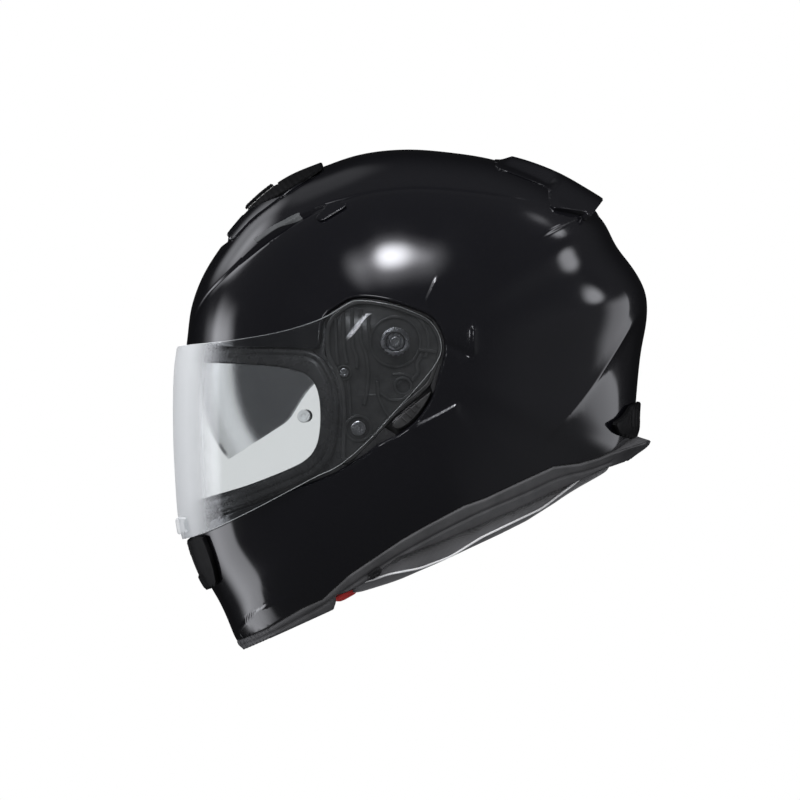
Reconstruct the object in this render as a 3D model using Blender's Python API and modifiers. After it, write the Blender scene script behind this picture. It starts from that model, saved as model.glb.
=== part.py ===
"""Full-face motorcycle helmet, in separate pieces.

The helmet is drawn in its worn attitude and then tipped back by TILT, so that the
chin and the neck roll stand on the plane z = 0. Worn-attitude numbers are millimetres
from the head centre: x to the rider's left, y to the rear, z up. Side outlines are
lists of (y, z). The front of the helmet looks along -Y.
"""
import bpy
import bmesh
from math import acos, atan2, cos, degrees, exp, hypot, pi, radians, sin, sqrt, tan
from mathutils import Matrix, Vector

# ---------------------------------------------------------------- driving dimensions
MM = 0.001
GAP = 0.35                 # play between neighbouring pieces
TILT = radians(24.9)       # worn attitude to resting attitude
REST_DROP = 132.0          # head centre above the resting plane
SHIFT_Y = 5.8              # centres the helmet on y = 0

HALF_WIDTH = 128.0         # shell, over the ears
SHELL_T = 4.0              # laminate
SEGMENTS = 40              # round the side outline
RINGS = 16                 # from one ear to the other
CROWN_EXP, CHIN_EXP = 2.3, 2.55

PIVOT = (-3.1, 11.6)       # visor hinge (y, z)
SUN_PIVOT = (-17.1, -3.1)  # sun visor hinge
VISOR_T = 2.2
VISOR_FLAT = 126.8         # inner face of the visor over the hinge
PLATE_OUT, PLATE_IN = 121.0, 115.0
HUB_R, GEAR_IN, GEAR_OUT = 6.0, 6.5, 9.6
SUN_R, SUN_HALF_W, SUN_T = 117.0, 98.0, 1.8
STRAP_W, STRAP_T = 22.0, 1.6

# Head space: half width, half length, half height, centre (y, z)
HEAD = (77.0, 98.0, 95.0, 8.0, 0.0)
PAD_T = 6.5
CHEEK_HALF_W = 62.0

# ---------------------------------------------------------------- side outlines (y, z)
OUTLINE = [(-142.5, 10), (-139.5, 33.5), (-131, 57), (-116, 79.5), (-97, 101.5), (-73.5, 119.5),
           (-52, 128.5), (-29.5, 136.5), (1.5, 140.5), (33.5, 138.5), (67, 132.5), (93.5, 122),
           (117, 108), (135, 94), (144.5, 75.5), (156.5, 60), (164.5, 43.5), (165, 29.5),
           (161, 6.5), (158.5, -16.5), (157, -36.5), (156.5, -55.5), (141.5, -81.5), (129, -101),
           (111.5, -123.5), (93.5, -144.5), (72, -165.5), (38.5, -183), (0, -196.5), (-49.5, -214),
           (-83, -210), (-109, -188.5), (-115, -172.5), (-124, -155), (-131.5, -143.5),
           (-135.5, -133.5), (-139, -123.5), (-142.5, -107), (-144.5, -80), (-145.5, -53.5),
           (-145.5, -26.5), (-144.5, -3.5)]
RIM = [(-122, -196.5), (-108.5, -188), (-87, -178), (-65, -165), (-51.5, -159), (-33.5, -142.5),
       (0, -120), (15.5, -111), (42, -97), (57.5, -91.5), (75.5, -83), (102, -71), (120, -69),
       (132.5, -65.5), (144.5, -60), (156.5, -55.5), (176, -49.5)]
TRIM_LOW = [(169, -54), (169.5, -57.5), (160, -64), (144.5, -70), (133.5, -74), (120, -80),
            (101.5, -88), (80, -98), (57.5, -108), (26.5, -121), (-1.5, -131.5), (-24.5, -145.5),
            (-43.5, -156.5)]
APERTURE = [(-173.5, 8.5), (-67, 8), (-53, 5.5), (-52, 28.5), (-37.5, 38.5), (-31.5, 41), (-22, 41.5),
            (-11.5, 40), (0, 37), (14, 32), (22, 28), (27.8, 18.5), (30, 10.5), (29.5, 2.5),
            (26, -8.5), (23, -21.5), (18.5, -30.5), (10.5, -41.5), (-2, -50.5), (-14, -55.5),
            (-19, -60), (-31.5, -68.5), (-42, -75), (-56, -81), (-67, -85), (-91.5, -94.5),
            (-118, -103.5), (-147, -113.5), (-173.5, -121)]
GASKET_OUT = [(-173.5, 8), (-67, 7.5), (-53, 3.5), (-46, -7.5), (-42, -18), (-40.5, -35.5),
              (-43, -62), (-53.5, -75.5), (-67, -82), (-91.5, -92), (-118, -101.5), (-147, -111.5),
              (-173.5, -119)]
GASKET_IN = [(-173.5, -1.5), (-117, -2), (-91.5, -3.5), (-76, -5.5), (-66, -8.5), (-59.5, -12),
             (-55, -19.5), (-53, -30), (-53, -47), (-56, -60), (-65, -69.5), (-78, -76),
             (-95.5, -83), (-107.5, -87.5), (-121, -91.5), (-147, -99), (-173.5, -104)]
VISOR = [(-170, 7.5), (-149.5, 8.5), (-140.5, 10), (-117, 12), (-92, 16), (-73.5, 20), (-52, 27),
         (-37.5, 36), (-31.5, 39.5), (-22, 39.5), (-11.5, 38), (-0.5, 35.5), (13.5, 30), (20.5, 26),
         (26, 18), (28, 10.5), (27.5, 3.5), (24, -3.5), (16, -14), (-2.5, -34), (-18, -51.5),
         (-31.5, -63.5), (-42, -72), (-56, -78), (-67, -84), (-91.5, -97), (-109, -105.5),
         (-128.5, -114.5), (-143, -119), (-170, -123.5)]
PLATE = [(-49.5, 26), (-36.5, 36.5), (-30.5, 39.5), (-22, 40), (-11.5, 38.5), (-0.5, 35.5),
         (13.5, 30.5), (21, 26.5), (26.5, 18), (28.5, 10.5), (28, 2.5), (24, -8.5), (20.5, -18),
         (-2, -36), (-16, -52), (-30.5, -66.5), (-38, -70.5), (-39.5, -62), (-38.5, -35.5),
         (-40, -18), (-44, -7), (-50, 3)]
LEVER = [(-1, -37), (20.5, -19.5), (21.3, -22), (17, -30), (9.5, -40), (-1, -47.5), (-7.5, -43.5)]
CHEEK_TOP = [(-45.5, -53.5), (-36.5, -26.5), (-18.5, -17), (6.5, -21.5), (30, -40), (41.5, -68),
             (40, -100)]
TOP_VENT = [(-121, 93), (-111, 105), (-98, 116), (-82, 125.5), (-66, 132.5), (-52, 136),
            (-52, 128.6), (-61.5, 121.5), (-78, 110), (-98, 95), (-113, 79)]
SPOILER = [(68, 131), (68, 146), (104, 140), (144, 116), (144, 104), (128.5, 94), (125, 95.5),
           (123.5, 98.5), (102, 102.5), (100.5, 118), (80, 125.5)]
CHIN_VENT = [(-152, -126), (-128, -118.5), (-123.5, -129), (-120, -140), (-119, -149), (-124, -152),
             (-150, -160)]
EXHAUST = [(138.5, -47.5), (150, -38), (155, -30), (176, -25), (176, -46), (160, -51), (146, -51)]
CROWN_VENT = [(-56, 94), (-47, 104), (-37, 104), (-35.5, 101.5), (-52, 91.5)]


def rest_z(y, up=0.0):
    """Worn-attitude height of the resting plane at y, raised by up."""
    return (up - REST_DROP + y * sin(TILT)) / cos(TILT)


def worn(y_rest, z_rest):
    """(y, z) in the worn attitude of a point given in the resting attitude."""
    zz = z_rest - REST_DROP
    return y_rest * cos(TILT) - zz * sin(TILT), y_rest * sin(TILT) + zz * cos(TILT)


# ---------------------------------------------------------------- the shell's form
POLAR = sorted((atan2(z, y) % (2 * pi), hypot(y, z)) for y, z in OUTLINE)


def outline_radius(angle):
    """Radius of the side outline at an angle, by a cubic through the outline's points."""
    angle %= 2 * pi
    n = len(POLAR)
    i = next((k for k in range(n) if POLAR[k][0] > angle), n)

    def at(k):
        turn, k = divmod(k, n)
        return POLAR[k][0] + 2 * pi * turn, POLAR[k][1]
    (a0, r0), (a1, r1), (a2, r2), (a3, r3) = (at(i - 2), at(i - 1), at(i), at(i + 1))
    if angle < a1 - 1e-9:
        angle += 2 * pi
    h = a2 - a1
    t = (angle - a1) / h
    m1, m2 = (r2 - r0) / (a2 - a0) * h, (r3 - r1) / (a3 - a1) * h
    return ((2 * t ** 3 - 3 * t * t + 1) * r1 + (t ** 3 - 2 * t * t + t) * m1
            + (3 * t * t - 2 * t ** 3) * r2 + (t ** 3 - t * t) * m2)


def exponent(angle):
    return CROWN_EXP + (CHIN_EXP - CROWN_EXP) * max(0.0, cos(angle - radians(235)))


def shell_x(y, z, off=0.0):
    """Half width of the form at (y, z), moved in by off."""
    a = atan2(z, y)
    rho = min(1.0, hypot(y, z) / (outline_radius(a) - off))
    return (HALF_WIDTH - off) * sqrt(1 - rho ** exponent(a))


# ---------------------------------------------------------------- scene helpers
for old in list(bpy.data.objects):
    bpy.data.objects.remove(old, do_unlink=True)

PARTS = bpy.data.collections.new("motorcycle_helmet")
CUTTERS = bpy.data.collections.new("cutters")
for c in (PARTS, CUTTERS):
    bpy.context.scene.collection.children.link(c)

TIP = bpy.data.objects.new("tip_back", None)
TIP.rotation_euler = (-TILT, 0, 0)
TIP.location = (0, SHIFT_Y * MM, REST_DROP * MM)
PARTS.objects.link(TIP)


def material(name, colour, rough, metallic=0.0, alpha=1.0):
    m = bpy.data.materials.new(name)
    m.use_nodes = True
    b = m.node_tree.nodes["Principled BSDF"]
    b.inputs["Base Color"].default_value = (*colour, 1)
    b.inputs["Roughness"].default_value = rough
    b.inputs["Metallic"].default_value = metallic
    b.inputs["Alpha"].default_value = alpha
    m.diffuse_color = (*colour, alpha)
    return m


GLOSS = material("gloss_black", (0.012, 0.012, 0.015), 0.08)
SATIN = material("dark_plastic", (0.045, 0.045, 0.047), 0.45)
TRIM = material("rim_rubber", (0.055, 0.055, 0.056), 0.6)
FOAM = material("eps_foam", (0.10, 0.10, 0.10), 0.85)
CLOTH = material("liner_fabric", (0.06, 0.06, 0.062), 0.95)
CLEAR = material("clear_polycarbonate", (0.92, 0.94, 0.95), 0.03, alpha=0.2)
SMOKE = material("smoke_polycarbonate", (0.12, 0.12, 0.13), 0.05, alpha=0.6)
STEEL = material("steel", (0.55, 0.55, 0.56), 0.3, 1.0)
RED = material("red_webbing", (0.55, 0.03, 0.02), 0.8)
PIN = material("pin_plastic", (0.6, 0.6, 0.6), 0.35)


def add(name, mesh, mat=None, origin=(0, 0, 0), tipped=True):
    """Puts a mesh given in worn (or resting) millimetre axes in the scene, its origin at origin."""
    ob = bpy.data.objects.new(name, mesh)
    mesh.transform(Matrix.Translation(-Vector(origin) * MM))
    ob.location = Vector(origin) * MM
    if tipped:
        ob.parent = TIP
    else:
        ob.location.y += SHIFT_Y * MM
    if mat is None:
        CUTTERS.objects.link(ob)
        ob.hide_render = True
        ob.display_type = "WIRE"
    else:
        PARTS.objects.link(ob)
        mesh.materials.append(mat)
    return ob


def form_mesh(name, off=0.0, proud=None, flat=None):
    """The shell's closed form, moved in by off. proud(angle, rho) moves it out again."""
    bm = bmesh.new()
    bmesh.ops.create_uvsphere(bm, u_segments=SEGMENTS, v_segments=RINGS, radius=1.0)
    for v in bm.verts:
        y, z, x = v.co
        side = sqrt(max(0.0, 1 - x * x))
        a = atan2(z, y) if side > 1e-6 else 0.0
        rho = side ** (2 / exponent(a))
        out = proud(a, rho) if proud else 0.0
        r = rho * (outline_radius(a) - off + out)
        wide = x * (HALF_WIDTH - off + out)
        if flat is not None:
            wide = max(-flat, min(flat, wide))
        v.co = (wide * MM, r * cos(a) * MM, r * sin(a) * MM)
    me = bpy.data.meshes.new(name)
    bm.to_mesh(me)
    bm.free()
    return me


FORMS = {}


def form(off, key="", proud=None, flat=None):
    """A cutter with the shell's form, made once for each offset."""
    name = f"form_{key}{off:+.1f}"
    if name not in FORMS:
        FORMS[name] = add(name, form_mesh(name, off, proud, flat))
    return FORMS[name]


def closed(name, points, x0, x1):
    """Mesh of a flat (y, z) outline between x0 and x1, from a filled 2D curve."""
    cu = bpy.data.curves.new(name, "CURVE")
    cu.dimensions = "2D"
    cu.fill_mode = "BOTH"
    cu.extrude = (x1 - x0) / 2 * MM
    sp = cu.splines.new("POLY")
    sp.points.add(len(points) - 1)
    for p, (y, z) in zip(sp.points, points):
        p.co = (y * MM, z * MM, 0, 1)
    sp.use_cyclic_u = True
    tmp = bpy.data.objects.new(name, cu)
    bpy.context.scene.collection.objects.link(tmp)
    me = bpy.data.meshes.new_from_object(tmp.evaluated_get(bpy.context.evaluated_depsgraph_get()))
    bpy.data.objects.remove(tmp)
    me.transform(Matrix(((0, 0, 1, (x0 + x1) / 2 * MM), (1, 0, 0, 0), (0, 1, 0, 0), (0, 0, 0, 1))))
    bm = bmesh.new()
    bm.from_mesh(me)
    bmesh.ops.remove_doubles(bm, verts=bm.verts, dist=1e-6)
    bmesh.ops.recalc_face_normals(bm, faces=bm.faces)
    bm.to_mesh(me)
    bm.free()
    return me


COUNT = [0]


def cutter(points, x0=-200, x1=200):
    COUNT[0] += 1
    name = f"outline_{COUNT[0]}"
    return add(name, closed(name, points, x0, x1))


def boolean(ob, other, how="DIFFERENCE"):
    m = ob.modifiers.new(how.lower(), "BOOLEAN")
    m.operation = how
    m.solver = "EXACT"
    m.object = other
    return ob


def layer(name, mat, outer, inner, keep, drop=(), origin=(0, 0, 0), key="", proud=None):
    """A piece of the form between two offsets, kept inside one cutter and outside others."""
    ob = add(name, form_mesh(name, outer, proud), mat, origin)
    boolean(ob, form(inner), "DIFFERENCE")
    boolean(ob, keep, "INTERSECT")
    for d in drop:
        boolean(ob, d)
    return ob


def grow(points, d):
    """Moves a closed outline out by d along its corners' mean normals."""
    n = len(points)
    area = sum(points[i][0] * points[(i + 1) % n][1] - points[(i + 1) % n][0] * points[i][1]
               for i in range(n))
    s = 1 if area > 0 else -1
    out = []
    for i in range(n):
        a, b, c = (Vector(points[k]) for k in (i - 1, i, (i + 1) % n))
        e, f = (b - a).normalized(), (c - b).normalized()
        m = Vector((e.y + f.y, -e.x - f.x)) * s
        m = m.normalized() / max(0.5, sqrt(max(0.0, (1 + e.dot(f)) / 2)))
        out.append(tuple(b + m * d))
    return out


def turned(name, mat, profile, y, z, side, x0, steps=20, origin=True):
    """A solid turned about an X axis at (y, z). profile: (radius, height from x0 outward)."""
    bm = bmesh.new()
    vs = [bm.verts.new((r * MM, 0, h * MM)) for r, h in profile]
    for a, b in zip(vs, vs[1:]):
        bm.edges.new((a, b))
    if profile[0][0] > 0:
        bm.edges.new((vs[-1], vs[0]))
    me = bpy.data.meshes.new(name)
    bm.to_mesh(me)
    bm.free()
    ob = bpy.data.objects.new(name, me)
    ob.parent = TIP
    ob.location = (side * x0 * MM, y * MM, z * MM)
    ob.rotation_euler = (0, side * pi / 2, 0)
    m = ob.modifiers.new("screw", "SCREW")
    m.steps = m.render_steps = steps
    m.use_merge_vertices = True
    m.merge_threshold = 1e-6
    m.use_smooth_shade = False
    if mat is None:
        CUTTERS.objects.link(ob)
        ob.hide_render = True
        ob.display_type = "WIRE"
    else:
        PARTS.objects.link(ob)
        me.materials.append(mat)
    return ob


def pill(r, h, low=0.0, edge=0.4):
    """Profile of a solid disc from low to h, its rim broken by edge."""
    return [(0, h), (r - edge, h), (r, h - edge), (r, low), (0, low)]


def washer(r0, r1, h, low=0.0):
    return [(r1, h), (r1, low), (r0, low), (r0, h)]


# ---------------------------------------------------------------- outer shell
below_rim = cutter([(-200, -260)] + [(-200, -236)] + RIM + [(230, -33), (230, -260)])
shell = add("outer_shell", form_mesh("outer_shell"), GLOSS)
boolean(shell, form(SHELL_T))
boolean(shell, cutter(APERTURE))
boolean(shell, below_rim)
# intake behind the crown cover, mouth of the chin vent and rear outlet
boolean(shell, cutter([(-100, 90), (-86, 78), (-70, 100), (-84, 128)], -15, 15))
boolean(shell, cutter([(-150, -130), (-122, -124), (-118, -136), (-146, -142)], -20, 20))
boolean(shell, cutter([(150, -34), (172, -31), (172, -42), (150, -45)], -22, 22))

# ---------------------------------------------------------------- rim trim and neck roll


def tail(angle, rho):
    """The trim flares into a lip behind the neck."""
    a = (angle + radians(18) + pi) % (2 * pi) - pi
    return 9.5 * exp(-(a / radians(8)) ** 2) * max(0.0, rho - 0.75) / 0.25


trim_top = [(y, z - GAP - 0.1) for y, z in RIM]
rim_trim = add("rim_trim", form_mesh("rim_trim", -0.6, tail), TRIM)
boolean(rim_trim, form(7.0))
boolean(rim_trim, cutter(trim_top[:-1] + TRIM_LOW
                         + [(-44, rest_z(-44)), (-124, rest_z(-124)), (-124, trim_top[0][1])]),
        "INTERSECT")

roll_top = [(y, z - GAP - 0.1) for y, z in TRIM_LOW[3:12]]
neck = add("neck_roll", form_mesh("neck_roll", 1.0), CLOTH)
boolean(neck, form(14.0))
boolean(neck, cutter(roll_top + [(-24.5, rest_z(-24.5, 1.2)), (-22, rest_z(-22)), (87, rest_z(87)),
                                 (104, -94), (120, -84.5)]), "INTERSECT")
neck_ring = add("neck_ring_form", form_mesh("neck_ring_form", 7.5))
boolean(neck_ring, form(13.3))
boolean(neck_ring, cutter([(-20, -130), (0, -124), (15.5, -113), (42, -99), (57.5, -93.5),
                           (75.5, -85), (102, -73), (120, -71), (132.5, -67.5), (144.5, -62),
                           (170, -54), (170, -60), (144.5, -71.5), (120, -81.5), (101.5, -92),
                           (87, -100), (57.5, -112), (26.5, -126), (-14, -144)]), "INTERSECT")

# ---------------------------------------------------------------- eyeport gasket
gasket = layer("eyeport_gasket", TRIM, 0.2, 6.0, cutter(grow(GASKET_OUT, -0.2)),
               [cutter(GASKET_IN)])

# ---------------------------------------------------------------- visor and its hinge


def visor_in(angle, rho):
    t = min(1.0, max(0.0, (rho - 0.55) / 0.45))
    return 1.3 + 2.7 * t * t * (3 - 2 * t)


def visor_out(angle, rho):
    return visor_in(angle, rho) + VISOR_T


visor_origin = (0, *PIVOT)
visor = add("visor", form_mesh("visor", 0, visor_out, VISOR_FLAT + VISOR_T), CLEAR, visor_origin)
boolean(visor, form(0, "visor_in", visor_in, VISOR_FLAT))
boolean(visor, cutter(VISOR), "INTERSECT")

plate_pin = []
for side, tag in ((1, "left"), (-1, "right")):
    def span(a, b):
        return (a, b) if side > 0 else (-b, -a)

    base = add(f"base_plate_{tag}", closed("base", grow(PLATE, -0.5), *span(PLATE_IN, PLATE_OUT)), SATIN)
    # pocket round the hinge, and the drain hole below it
    boolean(base, turned(f"plate_well_{tag}", None, pill(17, 2.6, edge=0.1), *PIVOT, side,
                         PLATE_OUT - 1.5, 24))
    boolean(base, turned(f"plate_hole_{tag}", None, pill(4.6, 12, edge=0.1), 2.0, -17.5, side,
                         PLATE_IN - 3, 16))
    turned(f"pivot_hub_{tag}", SATIN, pill(HUB_R, 5.2), *PIVOT, side, PLATE_OUT - 1.5 + GAP, 20)
    turned(f"pivot_screw_{tag}", STEEL, pill(3.4, 0.75, edge=0.2), *PIVOT, side,
           PLATE_OUT + 4.4, 14)
    turned(f"visor_gear_{tag}", SATIN, washer(GEAR_IN, GEAR_OUT, 2.4), *PIVOT, side,
           VISOR_FLAT - 2.4 - GAP, 20)
    turned(f"plate_screw_low_{tag}", STEEL, pill(5.0, 1.6), -27.6, -45.4, side,
           PLATE_OUT + GAP, 16)
    turned(f"plate_screw_front_{tag}", STEEL, pill(3.0, 1.3), -36.9, -8.7, side,
           PLATE_OUT + GAP, 14)
    lever_origin = (side * 119, 5, -34)
    add(f"release_slider_{tag}", closed("lever", grow(LEVER, -0.7), *span(116, 124.5)), SATIN,
        lever_origin)
    turned(f"pinlock_pin_{tag}", PIN, pill(4.3, 1.2), -63.5, -37.4, side,
           shell_x(-63.5, -37.4) - 2.4, 16)

lift_tab = layer("visor_lift_tab", CLEAR, -9.2, -6.6,
                 cutter([(-170, -106), (-140, -106), (-137.5, -113.5), (-150, -117.5), (-170, -117.5)],
                        14, 44), origin=visor_origin)

# ---------------------------------------------------------------- sun visor


def sun_radius(x, extra=0.0):
    w = SUN_HALF_W + extra
    return max(0.0, (SUN_R + extra) * (1 - (abs(x) / w) ** 2.8) ** (1 / 2.2)) if abs(x) < w else 0.0


def spun(name, profile, a0, a1, steps, loop=False):
    """Sheet or solid swept about the sun visor's hinge from angle a0 to a1 (degrees, from +y up)."""
    bm = bmesh.new()
    y0, z0 = SUN_PIVOT
    vs = [bm.verts.new((x * MM, (y0 + r * cos(radians(a0))) * MM, (z0 + r * sin(radians(a0))) * MM))
          for x, r in profile]
    pairs = list(zip(vs, vs[1:])) + ([(vs[-1], vs[0])] if loop else [])
    es = [bm.edges.new(p) for p in pairs]
    bmesh.ops.spin(bm, geom=vs + es, cent=(0, y0 * MM, z0 * MM), axis=(1, 0, 0),
                   angle=radians(a1 - a0), steps=steps, use_merge=False, use_duplicate=False)
    bmesh.ops.remove_doubles(bm, verts=bm.verts, dist=1e-6)
    if loop:
        bmesh.ops.holes_fill(bm, edges=[e for e in bm.edges if e.is_boundary], sides=0)
        bmesh.ops.triangulate(bm, faces=[f for f in bm.faces if len(f.verts) > 4])
    bmesh.ops.recalc_face_normals(bm, faces=bm.faces)
    me = bpy.data.meshes.new(name)
    bm.to_mesh(me)
    bm.free()
    return me


sun_x = [96.3, 94.5, 91, 85, 76, 64, 48, 30, 12]
sun_x = sun_x + [-x for x in reversed(sun_x)]
sun_origin = (0, *SUN_PIVOT)
blade = spun("sun_blade", [(96.9, 5)] + [(x, sun_radius(x)) for x in sun_x] + [(-96.9, 5)],
             157, 213, 8)
sun = add("sun_visor", blade, SMOKE, sun_origin)
m = sun.modifiers.new("thickness", "SOLIDIFY")
m.thickness = SUN_T * MM
m.offset = 0.0
m.use_even_offset = True
for side, tag in ((1, "left"), (-1, "right")):
    boolean(sun, turned(f"sun_boss_{tag}", None, pill(10, 2.4, edge=0.1), *SUN_PIVOT, side, 95.6, 16),
            "UNION")
for side, tag in ((1, "left"), (-1, "right")):
    boolean(sun, turned(f"sun_bore_{tag}", None, pill(4.2, 12, edge=0.1), *SUN_PIVOT, side, 90, 14))
    turned(f"sun_pivot_{tag}", STEEL, [(0, 18.5), (3.9, 18.5), (3.9, 0), (0, 0)], *SUN_PIVOT, side,
           95, 14)
# the nose cut-out
boolean(sun, cutter([(-170, -52), (-119.5, -52), (-113, -60), (-113, -90), (-170, -90)], -24, 24))


def pocket(name, r_in, r_out, a0, a1, steps):
    xs = [100.5, 96, 89, 78, 62, 40, 14]
    xs = xs + [-x for x in reversed(xs)]
    top = [(x, max(3.0, sun_radius(x, r_out))) for x in xs]
    low = [(x * (SUN_HALF_W - 4) / 101.5, max(1.0, sun_radius(x * (SUN_HALF_W - 4) / 101.5, -r_in)))
           for x in reversed(xs)]
    return add(name, spun(name, top + low, a0, a1, steps, loop=True))


# ---------------------------------------------------------------- impact liner and padding


def head_mesh(name, grow_by, half_w=None, straight=True):
    """The head's ellipsoid, with its lower half drawn down to the neck."""
    bm = bmesh.new()
    bmesh.ops.create_uvsphere(bm, u_segments=30, v_segments=12, radius=1.0)
    w, l, h, cy, cz = HEAD
    w = half_w or w
    for v in bm.verts:
        x, y, z = v.co
        if straight and z < -1e-4:
            k = 1 / max(1e-6, hypot(x, y)) if hypot(x, y) > 1e-6 else 0
            last = z < -0.999
            x, y = (0, 0) if last else (x * k, y * k)
            z = -2.4 + (0 if last else 0.0 + 2.4 * (1 + max(z, -0.98) / 0.981))
        v.co = (x * (w + grow_by) * MM, (cy + y * (l + grow_by)) * MM,
                (cz + z * (h + grow_by)) * MM)
    me = bpy.data.meshes.new(name)
    bm.to_mesh(me)
    bm.free()
    return me


cheek_outline = CHEEK_TOP + [(40, rest_z(40, 15)), (-58, rest_z(-58, 15)), (-61.5, -133.5),
                             (-58, -93.5), (-52, -78)]
head_hollow = add("head_hollow", head_mesh("head_hollow", PAD_T + 0.5))
eps = add("eps_liner", form_mesh("eps_liner", SHELL_T + 0.6), FOAM)
boolean(eps, head_hollow)
boolean(eps, cutter([(-200, 12), (-43.5, 12), (-32, 0), (-32, -73.5), (-18.5, -93.5), (-18.5, -240),
                     (-200, -240)]))
boolean(eps, cutter([(-200, -260)] + [(y, z + 1.2) for y, z in RIM] + [(230, -33), (230, -260)]))
boolean(eps, pocket("sun_pocket", 3.2, 3.0, 96, 232, 17))
boolean(eps, cutter([(-170, 8), (-170, 63), (-111.5, 63), (-121.5, 45.5), (-128.5, 26.5),
                     (-131.5, 8)]))
boolean(eps, cutter(grow(cheek_outline, 2.0)))
for side, tag in ((1, "left"), (-1, "right")):
    def span(a, b):
        return (a, b) if side > 0 else (-b, -a)
    boolean(eps, cutter(grow(PLATE + [], 2.5), *span(PLATE_IN - 1.2, 140)))
    boolean(eps, cutter(grow(LEVER, 3.0), *span(PLATE_IN - 1.2, 140)))
    boolean(eps, turned(f"arm_room_{tag}", None, pill(31, 10, edge=0.1), *SUN_PIVOT, side, 92, 20))
    boolean(eps, turned(f"pin_room_{tag}", None, pill(5.5, 20, edge=0.1), *SUN_PIVOT, side, 100, 12))
    boolean(eps, cutter([(-8, -56), (36, -56), (44, -130), (0, -130)], *span(98, 140)))

eps_chin = layer("eps_chin", FOAM, SHELL_T + 0.6, 22.0,
                 cutter([(-190, -124), (-133.5, -115.5), (-117, -109), (-91.5, -99), (-67, -88.5),
                         (-63, -90), (-64.5, -150), (-67, -163), (-87, -175), (-108, -184.5),
                         (-190, -222)]))

crown = add("crown_pad", head_mesh("crown_pad", PAD_T, straight=False), CLOTH)
boolean(crown, add("crown_hollow", head_mesh("crown_hollow", 0, straight=True)))
boolean(crown, cutter([(-200, 20), (-40, 16), (-10, -12), (30, -28), (60, -52), (200, -52), (200, 200),
                       (-200, 200)]), "INTERSECT")

cheek_face = add("cheek_face", head_mesh("cheek_face", 0, CHEEK_HALF_W))
curtain = layer("chin_curtain", CLOTH, 7.6, 9.2,
                cutter([(-124, -196)] + [(y, z - 1) for y, z in RIM[1:6]]
                       + [(-46, rest_z(-46, 8)), (-60, rest_z(-60, 2.5)), (-124, rest_z(-124, 2.5))]))
deflector = layer("breath_deflector", TRIM, 8.0, 10.5,
                  cutter([(-170, -106), (-128, -95.5), (-104, -88), (-104, -95.5), (-128, -104),
                          (-170, -116)], -46, 46))

for side, tag in ((1, "left"), (-1, "right")):
    def span(a, b):
        return (a, b) if side > 0 else (-b, -a)
    cheek = add(f"cheek_pad_{tag}", form_mesh("cheek", 18.0), CLOTH)
    boolean(cheek, cutter(cheek_outline, *span(8, 160)), "INTERSECT")
    boolean(cheek, cheek_face)
    layer(f"pull_tab_{tag}", RED, 12.0, 14.5,
          cutter([(-42.5, -155.8), (-28, -148), (-27, -153), (-38.5, -160.5), (-43, -160.5)],
                 *span(5, 160)))
    turned(f"strap_rivet_{tag}", STEEL, pill(7, 3.2), 10, -72, side, 112.2, 16)

# ---------------------------------------------------------------- chin straps (resting axes)
STRAP_Y = -21.0


def strap(name, path, side, width=STRAP_W, thick=STRAP_T, mat=CLOTH):
    cu = bpy.data.curves.new(name, "CURVE")
    cu.dimensions = "2D"
    cu.extrude = width / 2 * MM
    sp = cu.splines.new("POLY")
    sp.points.add(len(path) - 1)
    for p, (x, z) in zip(sp.points, path):
        p.co = (side * x * MM, z * MM, 0, 1)
    cu.fill_mode = "NONE"
    tmp = bpy.data.objects.new(name, cu)
    bpy.context.scene.collection.objects.link(tmp)
    me = bpy.data.meshes.new_from_object(tmp.evaluated_get(bpy.context.evaluated_depsgraph_get()))
    bpy.data.objects.remove(tmp)
    # curve's x, y, depth become x, z, -y
    me.transform(Matrix(((1, 0, 0, 0), (0, 0, -1, STRAP_Y * MM), (0, 1, 0, 0), (0, 0, 0, 1))))
    ob = add(name, me, mat, tipped=False)
    m = ob.modifiers.new("thickness", "SOLIDIFY")
    m.thickness = thick * MM
    m.offset = 0.0
    m.use_even_offset = True
    return ob


DROP = [(110, 62), (108.5, 46), (101.5, 33), (93, 23), (87.3, 15), (79, 9.5), (66, 6.5)]
for side, tag in ((1, "left"), (-1, "right")):
    # the strap passes between the cheek pad and the neck roll in a slot
    slot = strap(f"strap_slot_{tag}", DROP + [(50, 6)], side, STRAP_W + 3, STRAP_T + 2.4, None)
    boolean(neck_ring, slot)
    boolean(bpy.data.objects[f"cheek_pad_{tag}"], slot)
boolean(neck, neck_ring, "UNION")
strap("chin_strap_left", DROP + [(38, 6)], 1)
strap("chin_strap_right", DROP + [(38, 6), (14, 6), (6, 7), (1, 9)], -1)


def d_ring(name, z):
    """A bent wire with one straight side, on the end of the left strap."""
    cu = bpy.data.curves.new(name, "CURVE")
    cu.dimensions = "3D"
    cu.bevel_depth = 1.6 * MM
    cu.bevel_resolution = 1
    pts = [(33.5, -13), (33.5, 13)]
    pts += [(30 - 3 + 14 * cos(radians(a)) - 6, 13 * sin(radians(a))) for a in range(60, 301, 20)]
    sp = cu.splines.new("POLY")
    sp.points.add(len(pts) - 1)
    for p, (x, y) in zip(sp.points, pts):
        p.co = (x * MM, (y + STRAP_Y) * MM, z * MM, 1)
    sp.use_cyclic_u = True
    tmp = bpy.data.objects.new(name, cu)
    bpy.context.scene.collection.objects.link(tmp)
    me = bpy.data.meshes.new_from_object(tmp.evaluated_get(bpy.context.evaluated_depsgraph_get()))
    bpy.data.objects.remove(tmp)
    bm = bmesh.new()
    bm.from_mesh(me)
    bmesh.ops.remove_doubles(bm, verts=bm.verts, dist=1e-6)
    bmesh.ops.recalc_face_normals(bm, faces=bm.faces)
    bm.to_mesh(me)
    bm.free()
    return add(name, me, STEEL, (33.5, STRAP_Y, 8.0), tipped=False)


d_ring("d_ring_lower", 6.0)
d_ring("d_ring_upper", 10.0)

# ---------------------------------------------------------------- vents, spoiler and sliders


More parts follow.
